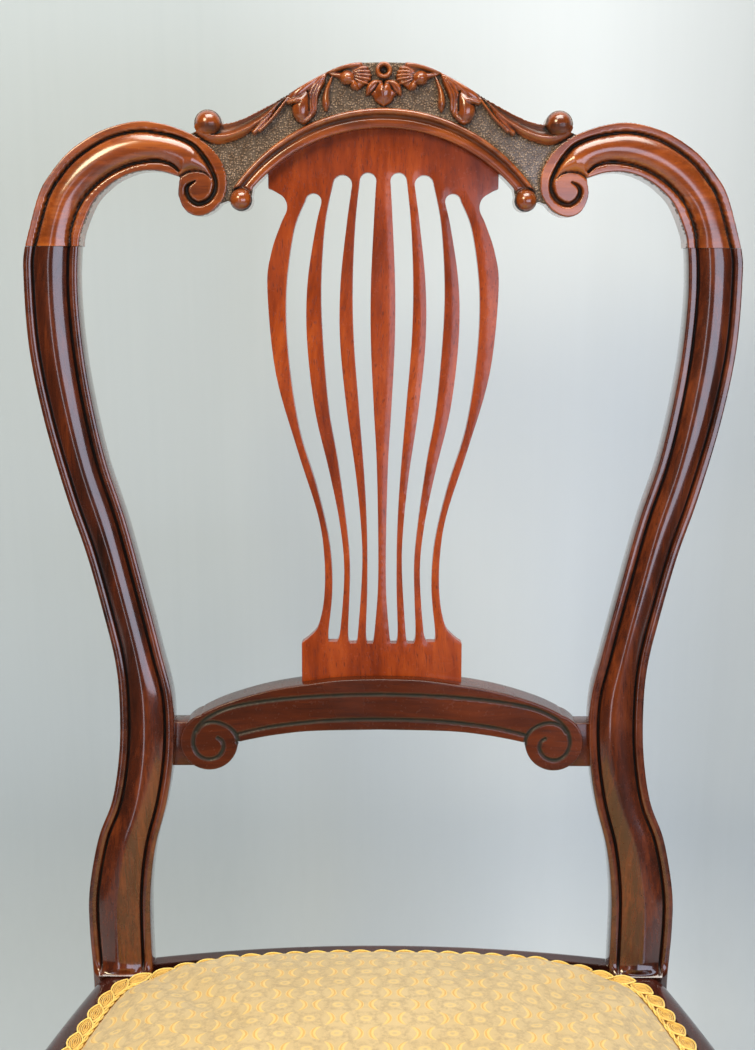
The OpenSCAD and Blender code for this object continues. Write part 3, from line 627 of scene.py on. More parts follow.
# the back: outlines
outerLine = smoothLine(sized([
    [0.857, -0.030], [0.857, 0.000], [0.865, 0.054], [0.862, 0.099], [0.832, 0.159], [0.788, 0.204],
    [0.764, 0.262], [0.761, 0.321], [0.771, 0.364], [0.799, 0.413], [0.844, 0.481],
    [0.896, 0.543], [0.953, 0.625], [0.990, 0.703], [1.000, 0.777], [0.993, 0.812],
    [0.952, 0.864]], backSize), 6)
innerLine = smoothLine(sized([
    [0.680, -0.030], [0.680, 0.000], [0.683, 0.053], [0.681, 0.099], [0.664, 0.150], [0.628, 0.203],
    [0.606, 0.262], [0.607, 0.320], [0.635, 0.369], [0.672, 0.429], [0.730, 0.518],
    [0.786, 0.588], [0.828, 0.670], [0.847, 0.738], [0.849, 0.788], [0.837, 0.826],
    [0.804, 0.855]], backSize), 6)

# crest rail
crestSizes = {
    "spacing": 0.52, "coarse": 0.9, "rimStep": 0.6, "ease": 0.8, "backEase": 7.0, "backSpacing": 3.0,
    "back": -chair["backThick"], "joint": 430.0, "finePart": 119.0, "ground": -3.0, "bodyRise": 3.6,
    "topBall": (96.9, 497.2, 7.1), "lowBall": (79.3, 455.8, 6.2), "notch": (90.8, 453.0), "topMeets": (107.6, 492.2),
    "archRadius": 96.7, "archCentre": 398.4, "archEnd": 72.6, "mouldWide": 10.5, "eye": (525.7, 3.4, 1.35),
}
shoulderOuter = smoothLine([
    (200.1, 430.0), (191.8, 457.7), (184.0, 470.6), (172.9, 482.6), (156.0, 493.0), (137.5, 498.0), (124.0, 497.2),
    (111.0, 493.4), (101.5, 488.6), (93.9, 482.2), (88.9, 474.5), (87.0, 466.2), (88.2, 458.0), (94.2, 450.1),
    (102.7, 446.8), (110.1, 449.8), (113.9, 458.1), (113.2, 466.3)], 8)
shoulderInner = smoothLine([
    (169.9, 430.0), (168.6, 437.8), (162.0, 453.1), (154.0, 461.9), (144.5, 468.1), (134.1, 471.3),
    (123.0, 471.0), (113.0, 468.0)], 8)
channel = smoothLine([
    (194.6, 430.0, 1.3), (186.8, 455.5, 1.3), (179.5, 467.6, 1.3), (169.2, 478.6, 1.3), (153.2, 488.4, 1.3),
    (137.0, 492.6, 1.3), (125.0, 491.8, 1.3), (115.0, 489.6, 1.4), (106.6, 486.0, 1.5), (102.0, 481.8, 1.6),
    (97.8, 476.0, 1.7), (95.2, 471.0, 1.7), (93.4, 465.6, 1.7), (94.1, 459.8, 1.75), (97.6, 455.3, 1.75),
    (103.1, 453.5, 1.7), (107.5, 456.0, 1.6), (109.4, 460.0, 1.5), (108.4, 463.4, 1.2), (104.6, 465.8, 0.5)], 8)
innerGroove = smoothLine([
    (175.3, 430.0, 1.3), (174.1, 439.8, 1.3), (168.1, 454.2, 1.3), (156.8, 466.1, 1.3), (142.6, 473.9, 1.3),
    (128.0, 476.8, 1.3), (118.5, 475.2, 1.1), (113.6, 471.4, 0.9)], 8)
ringGroove = smoothLine([
    (113.3, 467.8, 0.7), (108.8, 470.6, 0.7), (103.8, 471.3, 0.7), (98.9, 470.3, 0.6), (95.5, 467.1, 0.4)], 6)
topEdge = smoothLine([
    (0.0, 530.2), (9.0, 530.1), (17.6, 529.3), (28.1, 526.0), (39.4, 520.4), (52.6, 512.8), (63.0, 506.9),
    (77.0, 499.9), (84.0, 497.6), (90.2, 496.7)], 8)
ridge = smoothLine([
    (103.2, 497.4), (102.2, 493.8), (98.4, 491.2), (93.2, 490.2), (86.2, 490.6), (79.1, 493.0), (72.1, 496.5),
    (65.7, 500.6), (60.7, 505.0), (56.4, 509.2), (52.8, 511.9)], 8)
bandLow = smoothLine([
    (106.5, 493.0), (103.1, 489.6), (96.8, 486.3), (90.5, 485.5), (84.1, 486.8), (77.7, 489.3), (73.0, 492.2),
    (68.5, 496.2), (62.5, 502.0), (57.4, 507.8), (52.9, 511.5)], 8)


def nearest(line, place):
    return np.argmin(np.linalg.norm(line - np.array(place), axis=1))


def crestOutline():
    # half of the outline, from the top of the middle round the shoulder to the arch
    s = crestSizes
    bx, by, br = s["topBall"]
    lx, ly, lr = s["lowBall"]
    ball = arc((bx + 0.4, by), br + 0.5, 172, -36, 26)
    low = arc((lx, ly), lr, -10, -200, 26)
    shoulder = shoulderOuter[:nearest(shoulderOuter, s["topMeets"]) + 1][::-1]
    scroll = shoulderOuter[nearest(shoulderOuter, s["notch"]):][::-1]
    arch = archLine(s["archEnd"], s["archRadius"], s["archCentre"], 60)
    return np.vstack([topEdge[:-2], ball, shoulder, shoulderInner, scroll, [[87.0, 455.2]], low, arch])


def crestHeight(v):
    s = crestSizes
    p = np.c_[np.abs(v[:, 0]), v[:, 1]]
    x = p[:, 0]
    enclosed = lambda *lines: inLoop(p, np.vstack([line[:, :2] for line in lines]))
    # shoulders: flat fillets, round body between the grooves
    shoulder = enclosed(shoulderOuter, shoulderInner[::-1])
    body = enclosed(channel[:105], ringGroove[::-1], innerGroove[::-1])
    d = fromLine(p, channel[:110])
    w = np.maximum(d + fromLines(p, (innerGroove, ringGroove)), 1e-6)
    crown = np.minimum(s["bodyRise"], w * 0.3) * unit(1 - np.abs(2 * d / w - 1) ** 2.0) ** 0.95
    face = np.where(body, crown - 0.1, 0.0)
    for line, depth in ((channel, 3.4), (innerGroove, 2.7), (ringGroove, 1.5)):
        face = cutStroke(p, face, line, depth)
    # panel: punched ground and arch moulding of fillet, hollow and bead
    panel = np.full(len(p), s["ground"])
    d = np.hypot(x, p[:, 1] - s["archCentre"]) - s["archRadius"]
    out = d / (s["mouldWide"] - 2.1 * np.clip(x / 83, 0, 1.1) ** 2) * s["mouldWide"]
    inArch = (out > -0.5) & (out < 10.9) & (x < 84.5)
    fillet = -1.9 + 0.25 * bulge(out / 4.9)
    hollow = -1.9 - 0.75 * bulge((out - 4.7) / 2.6) ** 0.8
    bead = -1.6 + 2.3 * np.sqrt(unit(1 - ((out - 8.9) / 1.75) ** 2))
    arch = np.where(out < 4.7, fillet, np.where(out < 7.2, hollow, bead))
    arch = np.where((out >= 7.15) & (out < 7.35), np.maximum(arch, -1.9), arch)
    panel = np.where(inArch & (out < 10.6), np.maximum(arch, panel), panel)
    # leaves
    for outline, base, rise, edge in leafPads:
        loop = smoothLine(outline + outline[:1], 3)[:-1]
        raised = base + rise * np.sqrt(1 - (1 - unit(fromLine(p, loop, True) / edge)) ** 2)
        panel = np.where(inLoop(p, loop), np.maximum(panel, raised), panel)
    for line, base, rise in leafStrokes:
        panel = roundStroke(p, panel, line, base, rise)
    for line, depth in leafCuts:
        panel = cutStroke(p, panel, line, depth)
    # the long scroll: a sloping band below its ridge, a hollow above
    d = fromLine(p, ridge)
    slope, dip = [d / np.maximum(d + fromLine(p, line), 1e-6) for line in (bandLow, topEdge)]
    above = enclosed(ridge, topEdge[28:])
    panel = np.where(enclosed(ridge, bandLow[::-1]), np.maximum(panel, 1.4 - 4.4 * slope ** 1.7), panel)
    panel = np.where(above, np.maximum(panel, 1.3 - 1.6 * dip - 2.4 * bulge(dip) ** 0.7), panel)
    # balls, the lower one in a small hollow
    (bx, by, br), (lx, ly, lr) = s["topBall"], s["lowBall"]
    panel = roundStroke(p, panel, [(bx, by, br), (bx, by + 0.01, br)], -1.6, 6.6)
    panel = np.where(np.hypot(x - lx, p[:, 1] - ly) < lr + 1.1, np.minimum(panel, -2.4), panel)
    panel = roundStroke(p, panel, [(lx, ly, lr), (lx, ly + 0.01, lr)], -2.6, 6.6)
    # eye ring at the top
    eyeUp, eyeRadius, eyeThick = s["eye"]
    d = np.hypot(x, p[:, 1] - eyeUp)
    panel = np.where(d < 2.5, -0.2 - 1.6 * (1 - (d / 2.6) ** 2), panel)
    eye = -1.4 + 3.6 * np.sqrt(unit(1 - ((d - eyeRadius) / eyeThick) ** 2))
    eye = np.maximum(eye, np.where(d < 2.5, panel, np.maximum(panel, -1.4)))
    panel = np.where(np.abs(d - eyeRadius) < eyeThick, eye, panel)
    h = np.where(shoulder, face, panel)
    # recess darkens the hollows, dirt and painted shade, less in the arch moulding and more in the hollow above the
    # long scroll's ridge; rim lightens what stands proud, painted highlight and wear
    low = cavities(v, h)
    recess = unit((low - 0.12) / 0.75)
    recess = np.where(inArch & (out < 7.3), recess * 0.6, recess)
    recess = np.maximum(recess, np.where(above & ~shoulder, 0.75 * bulge(dip), 0))
    bare = ~(inArch & (out < 10.7)) & ~shoulder & (panel < s["ground"] + 0.35)
    return h, {"recess": recess, "rim": unit((-low - 0.45) / 0.8), "ground": np.where(bare, 1.0, 0.0)}


leafPads = [
    # outline, base, rise, rounding
    ([(31.6, 524.6), (35.0, 523.6), (38.6, 521.4), (42.6, 518.7), (46.8, 516.0), (50.8, 513.1), (52.6, 511.4),
      (53.3, 509.3), (53.0, 507.4), (50.8, 507.7), (50.6, 504.0), (49.6, 500.8), (47.5, 497.6), (43.6, 496.8),
      (41.4, 498.4), (38.6, 500.6), (37.0, 503.4), (36.4, 507.4), (35.8, 510.9), (34.0, 515.2),
      (32.1, 519.3)], -3.0, 3.2, 3.0),
    ([(24.2, 522.9), (22.6, 525.9), (19.8, 528.3), (16.3, 529.4), (12.2, 529.3), (9.0, 527.8), (7.0, 524.4),
      (6.6, 520.8), (8.2, 518.2), (11.4, 516.8), (13.0, 515.4), (15.6, 514.7), (17.8, 515.6), (18.8, 517.2),
      (21.3, 517.9), (23.4, 520.1)], -3.0, 3.4, 3.0),
    ([(0.0, 519.4), (2.4, 520.4), (6.0, 520.5), (8.4, 518.2), (9.6, 515.1), (10.0, 512.0), (8.0, 512.2),
      (6.4, 511.9), (4.2, 508.6), (0.0, 506.3), (-4.2, 508.6), (-6.4, 511.9), (-8.0, 512.2), (-10.0, 512.0),
      (-9.6, 515.1), (-8.4, 518.2), (-6.0, 520.5), (-2.4, 520.4)], -3.0, 3.6, 2.8),
]
leafStrokes = [
    # big leaf: the turned top, its hook, the hanging lobe, ribs, far edge
    ([(31.2, 524.4, 1.0), (36.4, 521.5, 2.6), (42.0, 517.4, 3.8), (47.4, 513.2, 4.0),
      (51.4, 510.4, 2.4)], -3.0, 5.0),
    ([(43.6, 510.8, 1.6), (48.2, 509.4, 2.1), (52.3, 508.4, 1.5)], -3.0, 6.0),
    ([(42.4, 512.4, 2.9), (44.8, 508.6, 4.9), (45.4, 504.6, 5.4), (45.0, 501.4, 4.6),
      (44.2, 498.6, 2.4)], -3.0, 6.6),
    ([(32.2, 523.0, 0.4), (37.2, 518.6, 0.8), (40.3, 513.2, 0.9), (40.8, 508.0, 0.9),
      (39.9, 502.6, 0.7)], -1.6, 3.2),
    ([(32.0, 522.8, 0.4), (35.8, 518.2, 0.7), (38.5, 512.8, 0.8), (39.0, 507.6, 0.8),
      (38.4, 502.8, 0.6)], -1.6, 2.9),
    ([(31.8, 522.6, 0.4), (34.2, 518.2, 0.6), (36.7, 512.6, 0.7), (37.3, 507.4, 0.7),
      (37.2, 504.2, 0.5)], -1.6, 2.6),
    ([(46.8, 498.6, 0.9), (43.8, 498.0, 1.4), (41.0, 500.2, 1.4), (39.4, 502.6, 0.8)], -3.0, 4.6),
    # bud
    ([(28.4, 522.3, 0.5), (29.8, 518.9, 1.0), (31.2, 514.9, 1.5), (31.9, 510.6, 2.1), (31.8, 507.2, 2.2),
      (31.9, 504.4, 1.1)], -3.0, 5.2),
    # upper leaf: stalk, ball, roll along the top, ribs of its fan, low lobe
    ([(29.4, 523.6, 0.9), (25.4, 523.0, 1.7), (22.4, 522.4, 2.6)], -3.0, 4.8),
    ([(20.4, 521.7, 4.2), (20.0, 521.6, 4.3), (19.6, 521.5, 4.2)], -3.0, 6.8),
    ([(31.0, 524.6, 1.2), (25.6, 526.6, 2.2), (19.6, 528.2, 2.4), (13.0, 528.8, 1.8)], -3.0, 4.8),
    ([(16.8, 524.7, 0.5), (13.0, 526.5, 0.9), (9.0, 526.9, 0.7)], -1.4, 3.4),
    ([(16.6, 524.0, 0.5), (12.8, 524.9, 0.9), (7.8, 524.9, 0.7)], -1.4, 3.4),
    ([(16.4, 523.2, 0.5), (12.4, 523.2, 0.9), (7.4, 522.9, 0.7)], -1.4, 3.4),
    ([(16.2, 522.2, 0.5), (12.4, 521.5, 0.9), (7.6, 520.8, 0.7)], -1.4, 3.4),
    ([(16.2, 521.2, 0.5), (12.8, 519.6, 0.9), (9.0, 518.6, 0.6)], -1.4, 3.2),
    ([(17.0, 519.0, 2.3), (15.8, 517.0, 2.3), (14.6, 515.8, 1.2)], -3.0, 5.4),
    # middle leaf: belly and turned wings
    ([(0.0, 514.4, 5.4), (0.0, 511.2, 4.4), (0.0, 507.6, 1.5)], -3.0, 6.0),
    ([(1.6, 519.6, 1.0), (5.4, 519.0, 1.6), (8.0, 516.4, 1.7), (9.0, 513.2, 1.1)], -3.0, 4.9),
    # thin leaf beside the long scroll
    ([(58.6, 506.4, 0.3), (62.2, 502.0, 0.9), (67.1, 497.0, 1.5), (71.4, 492.4, 1.7)], -3.0, 4.0),
    ([(53.0, 510.6, 0.8), (58.0, 504.0, 1.0), (62.2, 499.0, 1.0), (68.4, 493.0, 1.0)], -3.0, 4.6),
]
leafCuts = [
    ([(0.0, 521.0, 0.6), (0.0, 517.6, 0.7), (0.0, 514.6, 0.3)], 2.0),
    ([(2.9, 519.0, 0.3), (4.8, 515.6, 0.7), (7.6, 512.8, 0.5)], 1.5),
    ([(22.6, 518.4, 0.6), (19.6, 517.4, 0.6), (17.6, 518.6, 0.5)], 1.2),
    ([(42.0, 514.6, 0.5), (40.9, 510.0, 0.7), (41.2, 504.0, 0.6)], 1.6),
    ([(50.4, 506.9, 0.6), (47.4, 507.6, 0.5), (45.4, 508.8, 0.3)], 1.3),
]


def buildCrest():
    half = crestOutline()
    joint = np.where(np.abs(half[:, 1] - crestSizes["joint"]) < 0.2)[0]
    twice = lambda lines: [side for line in lines for side in (line[:, :2], line[:, :2] * mirror)]
    carved("carvedCrest", [mirroredLoop(half)], crestHeight, crestSizes, ["crest_rail"], woods["crest"],
           lines=twice([channel, innerGroove, ringGroove, ridge, bandLow]),
           within=lambda g: np.abs(g[:, 0]) < crestSizes["finePart"],
           free=twice([half[:joint[0] + 1], half[joint[-1]:]]))


# posts: one swept tube each, from the floor to the joint with the crest
postSizes = {
    "fillet": 4.4, "groove": 2.0, "grooveDeep": 2.7, "bodyRise": 3.6, "footOut": 5.2, "stations": 150,
    "legDeep": 1.4, "legOut": 9.0, "legBack": 72.0, "floorEdge": 1.2,
}
backLegShares = [
    [1.000, 0.00, 0.97], [0.860, 0.05, 1.00], [0.640, 0.21, 0.86], [0.380, 0.49, 0.76],
    [0.140, 0.82, 0.70], [0.000, 1.00, 0.67]]
backLegWide = [[1.000, 0.00, 1.00], [0.580, 0.02, 0.87], [0.180, 0.65, 0.78], [0.000, 1.00, 0.76]]


def legAt(table, share):
    # the two values of a table at this share of the leg's height
    curve = smoothLine(table, 6)[::-1]
    return [np.interp(share, curve[:, 0], curve[:, k]) for k in (1, 2)]


def postProfile(w, amount, deep):
    # (from the outer edge, height, mark) round the section; amount fades the moulding out at the seat
    s = postSizes
    g0, g1, cut = s["fillet"], s["fillet"] + s["groove"], -s["grooveDeep"] * amount
    # marks above 0 on the fillets' edges are lightened, painted highlight and wear; marks below 0 in the grooves are
    # darkened, painted shade and dirt
    edge = [(0.0, -1.0, 0), (0.25, -0.35, 0.6), (0.9, 0.0, 1), (g0 - 0.35, 0.0, 0.6), (g0, -0.25 * amount, 0.8),
            (g0 + 0.35, -1.5 * amount, -0.6), (g0 + 0.8, cut, -1), (g1 - 0.55, cut, -1),
            (g1 - 0.15, -1.3 * amount, -0.6)]
    side = [(0.0, -0.35), (0.0, -0.56), (0.7, -0.74), (2.6, -0.88), (6.6, -0.975)]
    body, n = [], 17
    for i in range(n):
        u = 0.5 - 0.5 * math.cos(math.pi * i / (n - 1))
        crown = s["bodyRise"] * max(0.0, 1 - abs(2 * u - 1) ** 2.0) ** 0.95
        body.append((g1 + u * (w - 2 * g1), (crown - 0.15) * amount, 0.8 if i in (1, n - 2) else 0))
    return np.array(edge + body + [(w - a, b, c) for a, b, c in edge[::-1]] + [(w - a, b * deep, 0) for a, b in side]
                    + [(w * 0.5, -deep, 0)] + [(a, b * deep, 0) for a, b in side[::-1]])


def crossPoints(s):
    # ends of the section square to the post at this height of its middle
    at = lambda line, h: np.array([np.interp(h, line[:, 1], line[:, 0]), h])
    middle = lambda h: (at(outerLine, h) + at(innerLine, h)) / 2
    c, along = middle(s), middle(s + 3) - middle(s - 3)
    along /= np.linalg.norm(along)
    square = min(1.0, max(0.0, min((s - 4) / 24, (jointHeight - s) / 24)))
    across = np.array([along[1], -along[0] * square])
    across /= np.linalg.norm(across)
    ends = []
    for line, sign in ((outerLine, 1), (innerLine, -1)):
        k = 17.0
        for _ in range(8):
            k = (at(line, c[1] + sign * k * across[1])[0] - c[0]) / (sign * across[0])
        ends.append(c + sign * k * across)
    return ends


def buildPost(side):
    s, deep = postSizes, chair["backThick"]
    rings, marks = [], []
    # the leg, square to the floor
    for z in np.r_[0.0, 3.0, np.linspace(12, 340, 40), 352, 364, 376, 388, 398, 406]:
        share = min(1.0, z / railLow)
        sweep, thick = legAt(backLegShares, share)
        out, wide = legAt(backLegWide, share)
        thick = thick * deep * s["legDeep"]
        if z > railLow:
            k = (z - railLow) / chair["railHeight"]
            thick = thick * (1 - k) + deep / math.cos(leanAngle) * k
        x0, w = postIn - 0.3 + s["legOut"] * out, postWide + 0.6
        inner, outer = x0 + w * (1 - wide) * 0.4, x0 + w * (0.4 + wide * 0.6)
        k = min(1.0, max(0.0, (z - 364) / 40))
        inner, outer = inner + (innerLine[0, 0] - inner) * k, outer + (outerLine[0, 0] - outer) * k
        pr = postProfile(outer - inner, 0.0, thick)
        shrink = s["floorEdge"] if z == 0 else 0.0
        u = np.clip(pr[:, 0], shrink, outer - inner - shrink)
        y = backY + sweep * s["legBack"] - np.clip(pr[:, 1], -thick + shrink, -shrink)
        rings.append(np.stack([outer - u, y, np.full(len(u), z)], 1) * mm)
        marks.append(unit(pr[:, 2]) * 0.5)
    # the post, square to its own line
    for h in np.r_[0.3, 0.9, 1.6, 2.6, 3.8, 5.2, 7.0, 9.0, 12, np.linspace(15, jointHeight, s["stations"])]:
        o, i = crossPoints(h)
        w = np.linalg.norm(o - i)
        amount = unit((h - 1.2) / 3.0)
        pr = postProfile(w, amount, deep)
        foot = s["footOut"] * unit(1 - h / 9.0) ** 2.2 * unit((pr[:, 1] + 12) / 8)
        foot *= unit(np.minimum(pr[:, 0], w - pr[:, 0]) / 4.0)
        pr[:, 1] += foot
        # the foot's flared edge is marked lighter too: painted highlight
        pr[:, 2] += 0.7 * (foot > 0.5) * (h < 1.2)
        rings.append(onBack(np.c_[o + (i - o) * (pr[:, :1] / w), pr[:, 1]]))
        marks.append(pr[:, 2] * amount)
    marks = np.concatenate(marks)
    word = "right" if side > 0 else "left"
    makePiece(word + "PostAndLeg", np.vstack(rings) * (side, 1, 1), tubeFaces(len(rings), len(rings[0]), side < 0),
              [word + "_back_post"], woods["post"], {"recess": unit(-marks), "rim": unit(marks)}, 70)


# middle rail
midSizes = {
    "spacing": 0.75, "rimStep": 0.7, "ease": 0.7, "backEase": 2.5, "backSpacing": 3.5, "back": -24.0,
    "scroll": (101.2, 143.8, 16.9), "grooveWide": 0.85, "grooveDeep": 0.9,
    "blockIn": 101.0, "blockHeights": (128.0, 154.6), "blockFaces": (-4.8, -20.4), "blockEdge": 0.9,
}
midTop = smoothLine([
    (0.0, 182.0), (24.2, 181.2), (47.2, 178.1), (59.5, 176.1), (71.1, 173.5), (82.8, 170.1), (94.6, 165.9),
    (104.2, 161.3), (110.0, 157.6), (113.8, 153.6)], 6)
midLow = smoothLine(sized([
    [0.000, 0.2858], [0.194, 0.2842], [0.300, 0.2800], [0.380, 0.2745], [0.430, 0.2700]], backSize), 6)
midGrooves = [
    # the upper line with its spiral, the ring, the lower line
    smoothLine([(0.0, 172.9), (12.8, 172.7), (36.1, 171.7), (59.5, 169.7), (77.0, 167.2), (88.7, 164.6),
                (97.0, 161.3), (104.0, 156.9), (108.8, 151.0), (110.5, 144.1), (109.0, 138.2), (105.5, 134.6),
                (100.8, 133.4), (95.7, 135.4), (92.8, 140.2), (93.5, 144.4), (96.0, 146.4)], 6),
    smoothLine([(108.4, 150.2), (105.0, 154.2), (99.4, 156.0), (93.5, 155.0), (88.0, 151.8), (84.9, 147.5),
                (84.2, 143.2)], 6),
    smoothLine([(0.0, 157.9), (12.8, 157.8), (36.2, 156.7), (59.6, 154.0), (72.5, 151.6), (84.6, 148.6)], 6),
]


def midOutline():
    cx, cy, r = midSizes["scroll"]
    top, low = [line[np.hypot(line[:, 0] - cx, line[:, 1] - cy) > r + 0.2] for line in (midTop, midLow)]
    a0, a1 = [math.degrees(math.atan2(line[-1][1] - cy, line[-1][0] - cx)) for line in (top, low)]
    if a1 > a0:
        a1 -= 360
    return np.vstack([top, arc((cx, cy), r, a0, a1, 60), low[::-1]])


def midHeight(v):
    s = midSizes
    p = np.c_[np.abs(v[:, 0]), v[:, 1]]
    h = np.zeros(len(p))
    for line in midGrooves:
        h = cutStroke(p, h, np.c_[line, np.full(len(line), s["grooveWide"])], s["grooveDeep"])
    # the grooves are darkened: dirt and painted shade
    return h, {"recess": unit(1.7 - fromLines(p, midGrooves) / 0.95), "rim": np.zeros(len(p))}


def softEdges(piece, width):
    setAll(piece.modifiers.new("edges", "BEVEL"), {"width": width * mm, "segments": 3, "limit_method": "ANGLE"})
    mesh = applied(piece)
    mesh.shade_smooth()
    mesh.set_sharp_from_angle(angle=math.radians(40))


def buildMidRail():
    s = midSizes
    carved("middleRail", [mirroredLoop(midOutline())], midHeight, s, ["mid_rail"], woods["midRail"])
    # the end blocks stand back between the scrolls and the posts
    low, high = s["blockHeights"]
    reach = [np.interp(h, innerLine[:, 1], innerLine[:, 0]) + 3 for h in (low, high)]
    outline = [(s["blockIn"], low), (reach[0], low), (reach[1], high), (s["blockIn"], high)]
    faces = [(0, 1, 2, 3), (7, 6, 5, 4)] + [(i, i + 4, (i + 1) % 4 + 4, (i + 1) % 4) for i in range(4)]
    for side, word in ((-1, "Left"), (1, "Right")):
        verts = onBack([(side * a, b, h) for h in s["blockFaces"] for a, b in outline])
        block = makePiece("middleRailEnd" + word, verts, [f[::side] for f in faces], (), woods["midRail"])
        softEdges(block, s["blockEdge"])


# splat
splatSizes = {
    "spacing": 2.6, "rimStep": 1.0, "ease": 0.25, "backEase": 0.25, "backSpacing": 4.0,
    "half": 65.5, "front": -9.0, "back": -17.0, "topRadius": 96.9,
}
splatFoot = chair["splatLow"] * chair["backLength"]
splatTop = chair["archTop"] * chair["backLength"]
splatLine = [
    [0.716, 0.000], [0.716, 0.074], [0.640, 0.086], [0.565, 0.107], [0.515, 0.160],
    [0.512, 0.232], [0.568, 0.313], [0.746, 0.432], [0.933, 0.572], [1.000, 0.722],
    [0.962, 0.786], [0.880, 0.835], [0.826, 0.861], [0.848, 0.880], [0.930, 0.892],
    [0.985, 0.897]]
slotOuter = [
    [[0.475, 0.076], [0.478, 0.095], [0.442, 0.176], [0.467, 0.262], [0.577, 0.364],
     [0.732, 0.472], [0.822, 0.602], [0.837, 0.717], [0.768, 0.823], [0.668, 0.876]],
    [[0.285, 0.073], [0.302, 0.095], [0.285, 0.210], [0.312, 0.288], [0.390, 0.410],
     [0.469, 0.505], [0.522, 0.634], [0.534, 0.729], [0.500, 0.835], [0.432, 0.905]],
    [[0.130, 0.073], [0.142, 0.095], [0.131, 0.176], [0.133, 0.275], [0.156, 0.375],
     [0.205, 0.504], [0.251, 0.626], [0.262, 0.728], [0.240, 0.835], [0.200, 0.914]]]
slotInner = [
    [[0.400, 0.076], [0.370, 0.100], [0.336, 0.208], [0.374, 0.296], [0.467, 0.393],
     [0.591, 0.504], [0.658, 0.627], [0.654, 0.728], [0.584, 0.825], [0.530, 0.873]],
    [[0.228, 0.073], [0.212, 0.095], [0.177, 0.210], [0.186, 0.288], [0.234, 0.388],
     [0.313, 0.504], [0.371, 0.626], [0.368, 0.729], [0.314, 0.835], [0.268, 0.903]],
    [[0.078, 0.073], [0.062, 0.100], [0.036, 0.176], [0.035, 0.275], [0.050, 0.408],
     [0.076, 0.504], [0.104, 0.626], [0.105, 0.728], [0.082, 0.835], [0.062, 0.907]]]


def buildSplat():
    s = splatSizes
    size = (s["half"], splatTop - splatFoot)
    side = sized(splatLine, size)
    edge = np.vstack([side[:1], smoothLine(side[1:], 6)]) + [0, splatFoot]
    arch = archLine(side[-1][0], s["topRadius"], splatTop - crestSizes["archRadius"], 40)
    loops = [mirroredLoop(np.vstack([[(0.0, edge[0][1])], edge, arch]))]
    for lines in zip(slotOuter, slotInner):
        o, i = [smoothLine(sized(line, size), 6) + [0, splatFoot] for line in lines]
        head, reach = (o[-1] + i[-1]) / 2, (o[-1] - i[-1]) / 2
        square = np.array([-reach[1], reach[0]])
        turns = [math.radians(a) for a in range(15, 180, 15)]
        cap = [head + reach * math.cos(a) + square * math.sin(a) for a in turns]
        hole = np.vstack([o, cap, i[::-1]])
        loops += [hole, hole * mirror]
    flat = lambda v: (np.full(len(v), s["front"]), dict.fromkeys(("recess", "rim"), np.zeros(len(v))))
    carved("splatPlate", loops, flat, s, ["splat"], woods["splat"], sharp=32)


# seat frame
cornerX = chair["seatWidth"] / 2 - chair["cornerRadius"]
cornerF = chair["seatDepth"] - chair["frontBow"] - chair["cornerRadius"]
sideGain = (chair["seatWidth"] - chair["rearWidth"]) / 2
sideR = (sideGain ** 2 + cornerF ** 2) / (2 * sideGain)
sideC = (chair["seatWidth"] / 2 - sideR, cornerF)
frontG = chair["frontBow"] + chair["cornerRadius"]
frontR = (cornerX ** 2 + frontG ** 2 - chair["cornerRadius"] ** 2) / (2 * chair["frontBow"])
frontC = (0.0, chair["seatDepth"] - frontR)
frontA = math.degrees(math.asin(cornerX / (frontR - chair["cornerRadius"])))
backR = (postIn ** 2 + chair["backRailBow"] ** 2) / (2 * chair["backRailBow"])
backC = (0.0, backR - chair["backThick"] * 0.76 - chair["backRailBow"])
legInX = chair["seatWidth"] / 2 - chair["frontLeg"]
legInF = chair["seatDepth"] - chair["frontBow"] - chair["frontLeg"]
padCorner = [[-0.34, -0.15], [-0.02, 0.02], [0.28, 0.12], [0.49, 0.27], [0.71, 0.58], [0.885, 1.10]]
legSizes = {"voxel": 1.6, "rounds": 8}
rebates = {"front": -11.7, "back": -10.7}


def padHalf():
    # edge of the seat pad from the middle of the front to the middle of the back: across, forward of the posts
    fan = lambda centre, *rest: arc(centre[::-1], *rest)[:, ::-1]
    turn = np.array(padCorner) * postWide + (postIn, 0)
    sideEnd = turn[5][1] + postWide * 0.6
    f = cornerF + (sideEnd - cornerF) * np.arange(1, 7) / 6
    x = sideC[0] + np.sqrt((sideR - chair["bareWood"] - 2.0) ** 2 - (cornerF - f) ** 2)
    xb = turn[0][0] * (4 - np.arange(1, 5)) / 4
    fb = backC[1] - np.sqrt((backR - chair["bareWoodBack"]) ** 2 - xb ** 2)
    return np.vstack([
        fan(frontC, frontR - chair["bareWood"], 0, frontA * 0.96, 4),
        fan((cornerX, cornerF), chair["cornerRadius"] - chair["bareWood"], frontA, 90, 4),
        np.c_[x, f], smoothLine(turn, 2)[::-1], np.c_[xb, fb]])


def padEdge(step, inset=0.0):
    # outline of the pad against the clock, drawn in by the inset
    half = padHalf()
    half = np.c_[half[:, 0], backY - half[:, 1]]
    return shiftedLoop(evenly(np.vstack([half, (half[1:-1] * mirror)[::-1]]), step, closed=True), inset)


